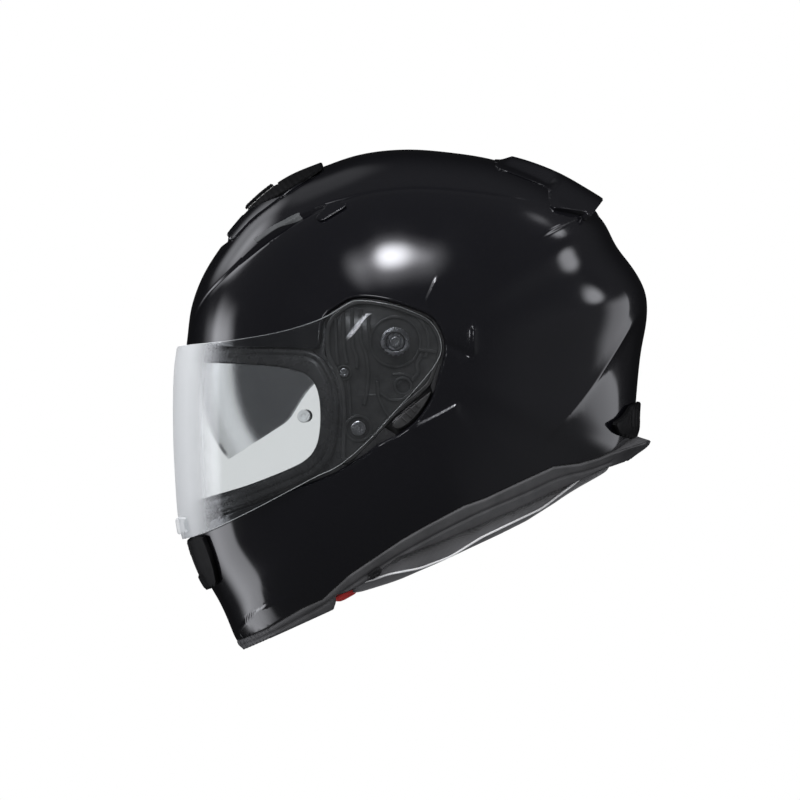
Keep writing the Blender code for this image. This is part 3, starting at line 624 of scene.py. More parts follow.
class Mat:
    """A node material around one Principled shader, with helpers for procedural detail."""

    def __init__(self, name, colour, rough, metallic=0.0, **inputs):
        self.m = bpy.data.materials.new(name)
        self.m.use_nodes = True
        self.t = self.m.node_tree
        self.b = self.t.nodes["Principled BSDF"]
        self.out = self.t.nodes["Material Output"]
        self.b.inputs["Base Color"].default_value = (*colour, 1)
        self.b.inputs["Roughness"].default_value = rough
        self.b.inputs["Metallic"].default_value = metallic
        for k, v in inputs.items():
            self.b.inputs[k.replace("_", " ")].default_value = v
        self.colour, self.rough = colour, rough
        self.coord = None

    def node(self, kind, **values):
        n = self.t.nodes.new(kind)
        for k, v in values.items():
            if hasattr(n, k) and k not in n.inputs:
                setattr(n, k, v)
            else:
                n.inputs[k].default_value = v
        return n

    def link(self, a, b):
        self.t.links.new(a, b)

    def at(self):
        if self.coord is None:
            self.coord = self.t.nodes.new("ShaderNodeTexCoord")
        return self.coord.outputs["Object"]

    def noise(self, scale, detail=3.0, rough=0.55, vector=None):
        n = self.node("ShaderNodeTexNoise", Scale=scale, Detail=detail, Roughness=rough)
        self.link(vector or self.at(), n.inputs["Vector"])
        return n.outputs["Fac"]

    def ramp(self, fac, a, b, lo=0.3, hi=0.7):
        n = self.node("ShaderNodeMapRange")
        n.inputs["From Min"].default_value, n.inputs["From Max"].default_value = lo, hi
        n.inputs["To Min"].default_value, n.inputs["To Max"].default_value = a, b
        self.link(fac, n.inputs["Value"])
        return n.outputs["Result"]

    def mix(self, fac, a, b):
        n = self.t.nodes.new("ShaderNodeMix")
        n.data_type = "RGBA"
        self.link(fac, n.inputs[0])
        n.inputs[6].default_value = (*a, 1)
        n.inputs[7].default_value = (*b, 1)
        return n.outputs[2]

    def colour_noise(self, a, b, scale, lo=0.35, hi=0.65, detail=4.0):
        self.link(self.mix(self.ramp(self.noise(scale, detail), 0, 1, lo, hi), a, b),
                  self.b.inputs["Base Color"])
        return self

    def rough_noise(self, a, b, scale, lo=0.35, hi=0.65):
        self.link(self.ramp(self.noise(scale, 5.0), a, b, lo, hi), self.b.inputs["Roughness"])
        return self

    def bump(self, height, strength, distance, chain=None):
        n = self.node("ShaderNodeBump", Strength=strength, Distance=distance)
        self.link(height, n.inputs["Height"])
        if chain is not None:
            self.link(chain, n.inputs["Normal"])
        self.link(n.outputs["Normal"], self.b.inputs["Normal"])
        return n.outputs["Normal"]


def maths(mat, op, a, b=None, c=None):
    n = mat.t.nodes.new("ShaderNodeMath")
    n.operation = op
    for k, v in enumerate((a, b, c)):
        if v is None:
            continue
        if isinstance(v, (int, float)):
            n.inputs[k].default_value = v
        else:
            mat.link(v, n.inputs[k])
    return n.outputs[0]


# painted shell: black lacquer under clear coat, a hint of orange peel, faint wiping marks
m = Mat("lacquer_black", (0.0032, 0.0032, 0.0045), 0.16)
m.colour_noise((0.0028, 0.0028, 0.0040), (0.0040, 0.0040, 0.0054), 900, detail=2)
m.b.inputs["Coat Weight"].default_value = 1.0
m.b.inputs["Coat Roughness"].default_value = 0.035
m.b.inputs["Coat IOR"].default_value = 1.5
m.b.inputs["Specular IOR Level"].default_value = 0.25
m.rough_noise(0.12, 0.2, 30)
m.bump(m.noise(260, 2.0, 0.4), 0.03, 0.0002)
LACQUER = m.m

m = Mat("vent_gloss", (0.006, 0.006, 0.007), 0.13)
m.colour_noise((0.0055, 0.0055, 0.0065), (0.0085, 0.0085, 0.0095), 500)
m.rough_noise(0.10, 0.17, 60)
m.bump(m.noise(420, 2.0, 0.4), 0.03, 0.0002)
VENT_GLOSS = m.m

m = Mat("vent_satin", (0.010, 0.010, 0.0105), 0.3)
m.colour_noise((0.008, 0.008, 0.0085), (0.013, 0.013, 0.0135), 120)
m.rough_noise(0.24, 0.36, 80)
m.bump(m.noise(1500, 2.0, 0.6), 0.12, 0.0002)
VENT_SATIN = m.m

m = Mat("vent_matte", (0.003, 0.003, 0.0033), 0.5)
m.b.inputs["Specular IOR Level"].default_value = 0.1
m.colour_noise((0.0024, 0.0024, 0.0026), (0.0046, 0.0046, 0.005), 140)
m.rough_noise(0.42, 0.56, 90)
m.bump(m.noise(1500, 2.0, 0.6), 0.08, 0.0002)
VENT_MATTE = m.m

m = Mat("inlay_satin", (0.075, 0.078, 0.08), 0.35)
m.colour_noise((0.066, 0.069, 0.071), (0.088, 0.091, 0.094), 140)
m.rough_noise(0.3, 0.42, 90)
m.bump(m.noise(1500, 2.0, 0.6), 0.06, 0.0002)
INLAY = m.m

m = Mat("rim_rubber", (0.07, 0.07, 0.072), 0.5)
m.colour_noise((0.060, 0.060, 0.062), (0.084, 0.084, 0.087), 70)
m.rough_noise(0.48, 0.62, 140)
m.bump(m.noise(1100, 3.0, 0.6), 0.18, 0.0003)
RUBBER = m.m

m = Mat("gasket_rubber", (0.022, 0.022, 0.023), 0.42)
m.colour_noise((0.018, 0.018, 0.019), (0.028, 0.028, 0.029), 90)
m.rough_noise(0.22, 0.34, 120)
m.bump(m.noise(1300, 3.0, 0.6), 0.03, 0.0002)
GASKET = m.m

m = Mat("mechanism_plastic", (0.028, 0.028, 0.0285), 0.16)
m.colour_noise((0.022, 0.022, 0.0225), (0.034, 0.034, 0.0345), 110)
m.rough_noise(0.11, 0.21, 90)
m.bump(m.noise(1700, 2.0, 0.6), 0.1, 0.0002)
MECH = m.m

m = Mat("steel_dark", (0.34, 0.34, 0.35), 0.26, 1.0)
m.colour_noise((0.28, 0.28, 0.29), (0.42, 0.42, 0.43), 260)
m.rough_noise(0.2, 0.36, 200)
m.bump(m.noise(700, 3.0, 0.5), 0.08, 0.0002)
STEEL = m.m

m = Mat("steel_bright", (0.6, 0.6, 0.61), 0.2, 1.0)
m.colour_noise((0.52, 0.52, 0.53), (0.66, 0.66, 0.67), 160)
m.rough_noise(0.15, 0.3, 180)
m.bump(m.noise(900, 3.0, 0.5), 0.06, 0.0002)
STEEL_BRIGHT = m.m

m = Mat("pin_plastic", (0.66, 0.67, 0.67), 0.3)
m.colour_noise((0.62, 0.63, 0.63), (0.72, 0.73, 0.73), 200)
m.rough_noise(0.25, 0.38, 150)
m.bump(m.noise(1200, 2.0, 0.5), 0.05, 0.0002)
PIN = m.m

# expanded polystyrene, dyed black: closed beads, with painted shade darkening each bead from its crown out to the
# seams between beads
m = Mat("eps_beads", (0.02, 0.02, 0.021), 0.7)
v = m.node("ShaderNodeTexVoronoi", Scale=330.0)
m.link(m.at(), v.inputs["Vector"])
m.link(m.mix(m.ramp(v.outputs["Distance"], 0, 1, 0.05, 0.75), (0.026, 0.026, 0.027),
             (0.010, 0.010, 0.010)), m.b.inputs["Base Color"])
m.link(m.ramp(v.outputs["Distance"], 0.55, 0.85, 0.0, 0.7), m.b.inputs["Roughness"])
m.bump(m.ramp(v.outputs["Distance"], 1, 0, 0.1, 0.8), 0.5, 0.0006)
EPS = m.m


def woven(name, a, b, pitch, sheen=0.35, strength=0.6, depth=0.0005, tint=None, fuzz=0.25):
    """A knit or weave: two crossed waves in object space make the yarns."""
    m = Mat(name, a, 0.92)
    sep = m.t.nodes.new("ShaderNodeSeparateXYZ")
    m.link(m.at(), sep.inputs[0])
    f = 2 * pi / pitch
    # two diagonal directions, mixed from all three axes so that every face shows the weave
    u = maths(m, "ADD", maths(m, "MULTIPLY", sep.outputs[1], f), maths(m, "MULTIPLY", sep.outputs[2], f * 0.62))
    w = maths(m, "SUBTRACT", maths(m, "MULTIPLY", sep.outputs[2], f), maths(m, "MULTIPLY", sep.outputs[1], f * 0.55))
    u = maths(m, "ADD", u, maths(m, "MULTIPLY", sep.outputs[0], f * 0.8))
    w = maths(m, "ADD", w, maths(m, "MULTIPLY", sep.outputs[0], f * 0.9))
    su, sw = maths(m, "SINE", u), maths(m, "SINE", w)
    h = maths(m, "MULTIPLY_ADD", maths(m, "MULTIPLY", su, sw), 0.5, 0.5)
    fine = m.noise(1600, 3.0, 0.7)
    hh = maths(m, "ADD", maths(m, "MULTIPLY", h, 0.75), maths(m, "MULTIPLY", fine, fuzz))
    broad = m.ramp(m.noise(18, 4.0), 0.82, 1.12, 0.3, 0.7)
    # the yarns' colour follows their height: raised yarns lighter, the hollows between them darker, a painted shade
    # laid over the bump
    yarn_colour_with_hollow_shade = m.mix(m.ramp(hh, 0, 1, 0.15, 0.85), a, b)
    mul = m.t.nodes.new("ShaderNodeMix")
    mul.data_type = "RGBA"
    mul.blend_type = "MULTIPLY"
    mul.inputs[0].default_value = 1.0
    comb = m.t.nodes.new("ShaderNodeCombineColor")
    for k in range(3):
        m.link(broad, comb.inputs[k])
    m.link(yarn_colour_with_hollow_shade, mul.inputs[6])
    m.link(comb.outputs[0], mul.inputs[7])
    m.link(mul.outputs[2], m.b.inputs["Base Color"])
    m.link(m.ramp(hh, 0.98, 0.8, 0.2, 0.8), m.b.inputs["Roughness"])
    m.b.inputs["Sheen Weight"].default_value = sheen
    m.b.inputs["Sheen Roughness"].default_value = 0.5
    m.bump(hh, strength, depth)
    return m.m


LINER = woven("liner_knit", (0.010, 0.010, 0.011), (0.030, 0.030, 0.032), 0.0022, 0.25)
NECK = woven("neck_cloth", (0.095, 0.095, 0.099), (0.180, 0.180, 0.187), 0.0013, 0.35, 0.35, 0.0003)
MESHCLOTH = woven("air_mesh", (0.006, 0.006, 0.006), (0.040, 0.040, 0.042), 0.0034, 0.2, 0.9, 0.0008)
WEBBING = woven("webbing", (0.010, 0.010, 0.011), (0.032, 0.032, 0.034), 0.0018, 0.2, 0.8, 0.0005)
RED = woven("pull_webbing", (0.55, 0.03, 0.03), (0.95, 0.085, 0.08), 0.0014, 0.2, 0.7, 0.0004)
PIPING = woven("piping", (0.62, 0.63, 0.64), (0.88, 0.88, 0.89), 0.0009, 0.1, 0.3, 0.0002)


def clear(name, tint, edge_tint, lo, hi, rough, haze_and_edge_sheen):
    """Thin clear sheet: light passes straight through it. Seen edge on it mirrors the pale room
    behind as much as it lets through, so its tint thins out there."""
    m = Mat(name, (1, 1, 1), rough)
    t = m.t
    t.nodes.remove(m.b)
    tr = t.nodes.new("ShaderNodeBsdfTransparent")
    gl = t.nodes.new("ShaderNodeBsdfGlossy")
    lw = t.nodes.new("ShaderNodeLayerWeight")
    lw.inputs["Blend"].default_value = 0.5
    mr = t.nodes.new("ShaderNodeMapRange")
    mr.interpolation_type = "SMOOTHSTEP"
    mr.inputs["From Min"].default_value, mr.inputs["From Max"].default_value = lo, hi
    m.link(lw.outputs["Facing"], mr.inputs["Value"])
    m.link(m.mix(mr.outputs["Result"], tint, edge_tint), tr.inputs["Color"])
    fres = maths(m, "MULTIPLY_ADD", maths(m, "POWER", lw.outputs["Facing"], 4.0), 0.16, 0.035)
    mx = t.nodes.new("ShaderNodeMixShader")
    gl.inputs["Color"].default_value = (0.95, 0.95, 0.96, 1)
    m.link(m.ramp(m.noise(40, 4.0), rough * 0.7, rough * 1.5, 0.3, 0.7), gl.inputs["Roughness"])
    m.link(fres, mx.inputs[0])
    m.link(tr.outputs[0], mx.inputs[1])
    m.link(gl.outputs[0], mx.inputs[2])
    last = mx.outputs[0]
    if haze_and_edge_sheen[1] > 0:
        # a faint, noisy milkiness of hard-coated polycarbonate, and edge on a white diffuse layer that stands for the
        # sheet mirroring the pale room: a painted reflection
        df = t.nodes.new("ShaderNodeBsdfDiffuse")
        df.inputs["Color"].default_value = (0.86, 0.88, 0.89, 1)
        m2 = t.nodes.new("ShaderNodeMixShader")
        gr = t.nodes.new("ShaderNodeMapRange")
        gr.interpolation_type = "SMOOTHSTEP"
        gr.inputs["From Min"].default_value, gr.inputs["From Max"].default_value = 0.36, 0.66
        gr.inputs["To Min"].default_value, gr.inputs["To Max"].default_value = 0.0, haze_and_edge_sheen[2]
        m.link(lw.outputs["Facing"], gr.inputs["Value"])
        m.link(maths(m, "ADD", gr.outputs["Result"], m.ramp(m.noise(25, 5.0), haze_and_edge_sheen[0], haze_and_edge_sheen[1], 0.3, 0.7)),
               m2.inputs[0])
        m.link(last, m2.inputs[1])
        m.link(df.outputs[0], m2.inputs[2])
        last = m2.outputs[0]
    m.link(last, m.out.inputs["Surface"])
    return m.m


# the last haze figure is the strength of the painted edge-on reflection
CLEAR = clear("clear_polycarbonate", (0.915, 0.925, 0.928), (0.972, 0.974, 0.976), 0.35, 0.8, 0.03,
              (0.001, 0.006, 0.62))
SMOKE = clear("smoke_polycarbonate", (0.545, 0.548, 0.556), (0.945, 0.947, 0.95), 0.215, 0.32, 0.04,
              (0.0, 0.0, 0.0))

# ------------------------------------------------------------------ camera first
cam = bpy.data.cameras.new("camera")
cam_ob = bpy.data.objects.new("camera", cam)
scene.collection.objects.link(cam_ob)
scene.camera = cam_ob
DIST = 9.0
cam.sensor_width = 36.0
cam.lens = 36.0 * DIST / 0.5344
cam.clip_start, cam.clip_end = 0.1, 60.0
aim = WORLD @ Vector((0, 0, -26.72))
ct, st = cos(TILT), sin(TILT)
cam_ob.matrix_world = Matrix(((0, 0, 1, aim.x + DIST), (ct, st, 0, aim.y),
                              (-st, ct, 0, aim.z), (0, 0, 0, 1)))

# ------------------------------------------------------------------ shell with its creases
L_CROWN, L_VENT = Line(CROWN_LINE), Line(VENT_GROOVE)
L_UP, L_GROOVE, L_LEVER = Line(HINGE_UP), Line(HINGE_GROOVE), Line(LEVER_CREASE)
L_REAR, L_TOP, L_FOLD, L_CHIN = Line(REAR_CREASE), Line(REAR_TOP), Line(SPOILER_FOLD), Line(CHIN_CREASE)


def ends(u, a=0.12, b=0.12):
    """1 along a line, falling to 0 at its ends."""
    return ss(u / a) * ss((1 - u) / b)


def shell_out(a, phi, y, z):
    d = np.zeros(len(y))
    # crown panel: raised above its character line, fading towards the top
    s, u = L_CROWN.at(y, z, 70)
    back = (1 - 0.93 * ss((u - 0.32) / 0.24)) * (0.2 + 0.8 * ss((u - 0.12) / 0.15))
    up = 1.5 * ss((s + 0.35) / 0.9) * np.exp(-np.maximum(s, 0) / 26.0) * back
    under = (-0.25 - 0.5 * ss((u - 0.3) / 0.15)) * np.exp(-((s + 2.6) / 3.2) ** 2) * (s < 60) * back
    slit = -1.3 * np.exp(-((s + 0.75) / 0.6) ** 2) * (0.35 + 0.65 * ss((0.52 - u) / 0.14)) \
        * (0.3 + 0.7 * ss((u - 0.16) / 0.14))
    d += (up + under + slit) * ss(u / 0.06) * ss((1.0 - u) / 0.2)
    # groove below the front vent
    s, u = L_VENT.at(y, z, 30)
    d += (-2.3 * np.exp(-(s / 0.95) ** 2) + 0.5 * ss((s + 0.4) / 1.0) * np.exp(-np.maximum(s, 0) / 9)) \
        * ends(u, 0.06, 0.04)
    # short creases round the visor hinge
    s, u = L_UP.at(y, z, 22)
    d += 0.32 * ss((s + 0.3) / 0.6) * np.exp(-np.maximum(s, 0) / 6.0) * ends(u, 0.3, 0.08)
    s, u = L_GROOVE.at(y, z, 18)
    d += -1.5 * np.exp(-(s / 3.1) ** 2) * ss((u + 0.02) / 0.05) * ss((1 - u) / 0.3)
    d += 1.5 * np.exp(-((y - 48.4) / 1.8) ** 2) * ss((z - 1.5) / 6.0) * ss((24.5 - z) / 6.0)
    s, u = L_LEVER.at(y, z, 26)
    d += 1.5 * (ss((s + 1.2) / 2.4) * np.exp(-np.maximum(s, 0) / 9.0)) * ends(u, 0.12, 0.16)
    # rear side: a scoop behind the long crease
    s, u = L_REAR.at(y, z, 60)
    t = np.clip(s / 44.0, 0, 1)
    near_sil = ss((pi / 2 - phi) / 0.5)
    d += -5.2 * (t * (1 - t) ** 1.5) * 2.2 * ss(u / 0.12) * ss((1 - u) / 0.45) * near_sil * (s < 59)
    d += 0.35 * np.exp(-(s / 2.0) ** 2) * ends(u, 0.1, 0.4)
    # fold from the spoiler's end
    s, u = L_FOLD.at(y, z, 40)
    d += 1.5 * ss((1.3 - s) / 2.8) * np.exp(-np.maximum(-s, 0) / 13.0) * ends(u, 0.08, 0.5)
    # chin crease
    s, u = L_CHIN.at(y, z, 40)
    d += 1.8 * ss((1.2 - s) / 2.8) * np.exp(-np.maximum(-s, 0) / 8.0) * ends(u, 0.1, 0.6)
    return d


offs = (-2.6, -1.2, -0.45, 0.0, 0.45, 1.2, 2.6)
L_RIDGE = Line([(48.9, 3.0), (48.9, 23.0)], 0)
shell_lines = [(L_RIDGE, (-3.2, -2.2, -1.5, -0.9, -0.4, 0, 0.4, 0.9, 1.5, 2.2, 3.2)), (L_CROWN, (-5.5, -3.8, -2.4, -1.2, -0.5, 0, 0.5, 1.2, 2.6)),
               (L_VENT, offs), (L_UP, offs), (L_GROOVE, (-5, -3.5, -2, -1, 0, 1, 2, 3.5, 5)),
               (L_LEVER, (-2.5, -1.6, -1.0, -0.5, 0, 0.5, 1.0, 1.6, 2.5)), (L_REAR, offs), (L_FOLD, (-2.6, -1.8, -1.3, -0.9, -0.45, 0.0, 0.45, 0.9, 1.6, 2.6)),
               (L_CHIN, (-2.6, -1.8, -1.3, -0.9, -0.45, 0.0, 0.45, 0.9, 1.6, 2.6))]
below = [(-200, -260), (-200, -236)] + RIM + [(230, -33), (230, -260)]
ap = rounded(APERTURE, 2, 0.22)
shell_me = patch("shell_skin", [[(-230, -260), (230, -260), (230, 200), (-230, 200)]],
                 [below, ap],
                 outer=shell_out, inner=const(-4.0), res=2.7, edge=1.1, lines=shell_lines,
                 band_drop=[([(-100, 90), (-86, 78), (-70, 100), (-84, 128)], 15),
                            ([(-150, -130), (-122, -124), (-118, -136), (-146, -142)], 20),
                            ([(150, -34), (172, -31), (172, -42), (150, -45)], 22)])
piece("shell_skin", shell_me, LACQUER, "helmet", ["outer_shell"])

# ------------------------------------------------------------------ rim trim
TAIL_A = radians(17.4)


def trim_out(a, phi, y, z):
    w = (a + TAIL_A + pi) % (2 * pi) - pi
    rho = np.sin(np.minimum(phi, pi / 2)) ** (2 / expo(a))
    lip = 11.0 * np.exp(-(w / np.where(w < 0, radians(4.2), radians(8))) ** 2) * np.maximum(0.0, rho - 0.75) / 0.25
    s, u = L_BEAD.at(y, z, 20)
    bead = -0.7 * np.exp(-((s) / 0.9) ** 2) * (u > 0)
    return 0.6 + lip + bead


trim_top = [(y, z - 0.45) for y, z in RIM[:-2]] + [(150.5, -56.0), (157.0, -50.6), (176, -46.5)]
trim_poly = (trim_top[:-1] + TRIM_LOW[:-2] + [(-22, -147.2), (-33, -153.4), (-43.5, -157.2)]
             + [(-44, rest_z(-44)), (-124, rest_z(-124)), (-124, trim_top[0][1])])
BEAD = [(-112, -193.5), (-87, -182.5), (-66, -171), (-48, -161), (-30, -147.5), (2, -127), (30, -112),
        (58, -98.5), (84, -88), (106, -77.5), (124, -74), (140, -68)]
L_BEAD = Line(BEAD)
trim_me = patch("rim_rubber", [trim_poly], outer=trim_out, inner=const(-7.0), res=3.2, edge=1.2,
                lines=[(L_BEAD, (-2.2, -1.1, -0.5, 0, 0.5, 1.1, 2.2))], at=0.6, base=0.6)
piece("rim_rubber", trim_me, RUBBER, "helmet", ["rim_trim"])

# ------------------------------------------------------------------ eyeport gasket
gk_out = rounded(grow(GASKET_OUT, -0.2), 2, 0.25)
gk_in = rounded(GASKET_IN, 2, 0.25)
L_LIP = Line([p for p in rounded(grow(GASKET_OUT, -4.2), 2, 0.25) if p[0] > -150][::-1], 0)


def gasket_out(a, phi, y, z):
    s, u = L_LIP.at(y, z, 12)
    return -0.2 - 1.1 * np.exp(-(s / 1.1) ** 2) * (np.abs(s) < 11)


gasket_me = patch("eyeport_rubber", [gk_out], [gk_in], outer=gasket_out, inner=const(-6.0),
                  res=3.0, edge=1.6, at=-0.2, base=-0.2,
                  lines=[(L_LIP, (-2.2, -1.2, -0.6, 0, 0.6, 1.2, 2.2))])
piece("eyeport_rubber", gasket_me, GASKET, "helmet", ["eyeport_gasket"])

fill_me = patch("eyeport_flange", [rounded(grow(APERTURE, 2.2), 2, 0.22)],
                [grow(PLATE, -0.3), grow([(y - 1.0, z - 0.8) for y, z in LEVER], 1.5), rounded(grow(GASKET_OUT, -0.6), 2, 0.25)],
                outer=const(-4.5), inner=const(-5.5), res=3.4, edge=0.2, at=-4.5, base=-4.5)
piece("eyeport_flange", fill_me, GASKET, "helmet")

# ------------------------------------------------------------------ clear visor
FLAT = 126.8


def visor_in_d(a, phi, y, z):
    rho = np.sin(np.minimum(phi, pi / 2)) ** (2 / expo(a))
    t = ss((rho - 0.55) / 0.45)
    d = 1.3 + 2.7 * t
    # flat over the hinge
    x = np.cos(phi) * (W0 + d)
    return d - np.maximum(0, x - FLAT) / np.maximum(np.cos(phi), 0.2)


def visor_out_d(a, phi, y, z):
    rho = np.sin(np.minimum(phi, pi / 2)) ** (2 / expo(a))
    d = 1.3 + 2.7 * ss((rho - 0.55) / 0.45) + VISOR_T
    x = np.cos(phi) * (W0 + d)
    return d - np.maximum(0, x - (FLAT + VISOR_T)) / np.maximum(np.cos(phi), 0.2)


visor_me = patch("visor_lens", [rounded(VISOR, 2, 0.25)], outer=visor_out_d, inner=visor_in_d,
                 res=3.0, edge=0.7, at=4.5, base=4.5)
piece("visor_lens", visor_me, CLEAR, "visor", ["visor"])
tab_me = patch("visor_tab", [rounded([(-170, -106), (-140, -106), (-137.5, -113.5), (-150, -117.5),
                                      (-170, -117.5)], 1, 0.2)],
               outer=const(9.2), inner=const(6.6), res=2.0, edge=0.8, at=9.2, base=9.2,
               band=(14, 44), side=1)
piece("visor_tab", tab_me, CLEAR, "visor", ["visor_lift_tab"])


# ------------------------------------------------------------------ turned hardware
def lathe(name, profile, y, z, side, x0, steps=64, cuts=None, sharp=35):
    """Turned piece on an X axis at (y, z): profile of (radius, height outward from x0)."""
    bm = bmesh.new()
    ring = []
    for r, h in profile:
        row = []
        for k in range(steps):
            t = 2 * pi * k / steps
            if r < 1e-6:
                if not row:
                    row = [bm.verts.new((side * (x0 + h), y, z))] * steps
                break
            row.append(bm.verts.new((side * (x0 + h), y + r * cos(t), z + r * sin(t))))
        ring.append(row)
    for r0, r1 in zip(ring, ring[1:]):
        for k in range(steps):
            q = [r0[k], r0[(k + 1) % steps], r1[(k + 1) % steps], r1[k]]
            u = []
            for v in q:
                if v not in u:
                    u.append(v)
            if len(u) > 2:
                try:
                    bm.faces.new(u)
                except ValueError:
                    pass
    for r in (ring[0], ring[-1]):
        if r[0] is not r[1]:
            try:
                bm.faces.new(r)
            except ValueError:
                pass
    bmesh.ops.recalc_face_normals(bm, faces=bm.faces)
    me = bpy.data.meshes.new(name)
    bm.transform(WORLD)
    bm.to_mesh(me)
    bm.free()
    me.shade_smooth()
    me.set_sharp_from_angle(angle=radians(sharp))
    return me


def screw_head(r, h, socket, depth, bev=0.45):
    """Profile of a button head with a recess."""
    pr = [(0, h - depth), (socket * 0.92, h - depth), (socket, h - depth + 0.15), (socket + 0.12, h - 0.05)]
    n = 6
    for k in range(n + 1):
        t = k / n * pi / 2
        pr.append((r - bev * 1.6 + bev * 1.6 * sin(t), h - bev + bev * cos(t)))
    pr += [(r, 0.15), (r - 0.15, 0), (0, 0)]
    return pr


def prism(name, outline, x0, x1, bev=0.5, segs=3, side=1, holes=()):
    """Plate with a side-view outline between two x, its edges rounded."""
    cu = bpy.data.curves.new(name, "CURVE")
    cu.dimensions = "2D"
    cu.fill_mode = "BOTH"
    cu.extrude = abs(x1 - x0) / 2 - bev
    cu.bevel_depth = bev
    cu.bevel_resolution = segs
    cu.offset = -bev
    for pts in [outline, *holes]:
        sp = cu.splines.new("POLY")
        sp.points.add(len(pts) - 1)
        for p, (y, z) in zip(sp.points, pts):
            p.co = (y, z, 0, 1)
        sp.use_cyclic_u = True
    tmp = bpy.data.objects.new(name, cu)
    scene.collection.objects.link(tmp)
    me = bpy.data.meshes.new_from_object(tmp.evaluated_get(bpy.context.evaluated_depsgraph_get()))
    bpy.data.objects.remove(tmp)
    bm = bmesh.new()
    bm.from_mesh(me)
    bmesh.ops.remove_doubles(bm, verts=bm.verts, dist=1e-4)
    bmesh.ops.transform(bm, matrix=Matrix(((0, 0, 1, (x0 + x1) / 2), (1, 0, 0, 0), (0, 1, 0, 0),
                                           (0, 0, 0, 1))), verts=bm.verts)
    if side < 0:
        bmesh.ops.scale(bm, vec=(-1, 1, 1), verts=bm.verts)
    bmesh.ops.recalc_face_normals(bm, faces=bm.faces)
    bm.transform(WORLD)
    bm.to_mesh(me)
    bm.free()
    me.shade_smooth()
    me.set_sharp_from_angle(angle=radians(32))
    return me


def arc_outline(points, closed=True, passes=2):
    return rounded(points, passes, 0.25)


def strip(path, width):
    """Outline of a band of a width along a path of (y, z) points."""
    p = np.array(path, float)
    n = np.gradient(p, axis=0)
    n = np.stack([-n[:, 1], n[:, 0]], 1) / np.maximum(np.hypot(*n.T), 1e-9)[:, None]
    return [tuple(q) for q in p + n * width / 2] + [tuple(q) for q in (p - n * width / 2)[::-1]]


def disc_pts(y, z, r, n=32, a0=0.0, a1=2 * pi):
    return [(y + r * cos(a0 + (a1 - a0) * k / n), z + r * sin(a0 + (a1 - a0) * k / n)) for k in range(n)]


def join(meshes, name):
    bm = bmesh.new()
    for me in meshes:
        bm.from_mesh(me)
    out = bpy.data.meshes.new(name)
    bm.to_mesh(out)
    bm.free()
    for me in meshes:
        bpy.data.meshes.remove(me)
    out.shade_smooth()
    out.set_sharp_from_angle(angle=radians(32))
    return out


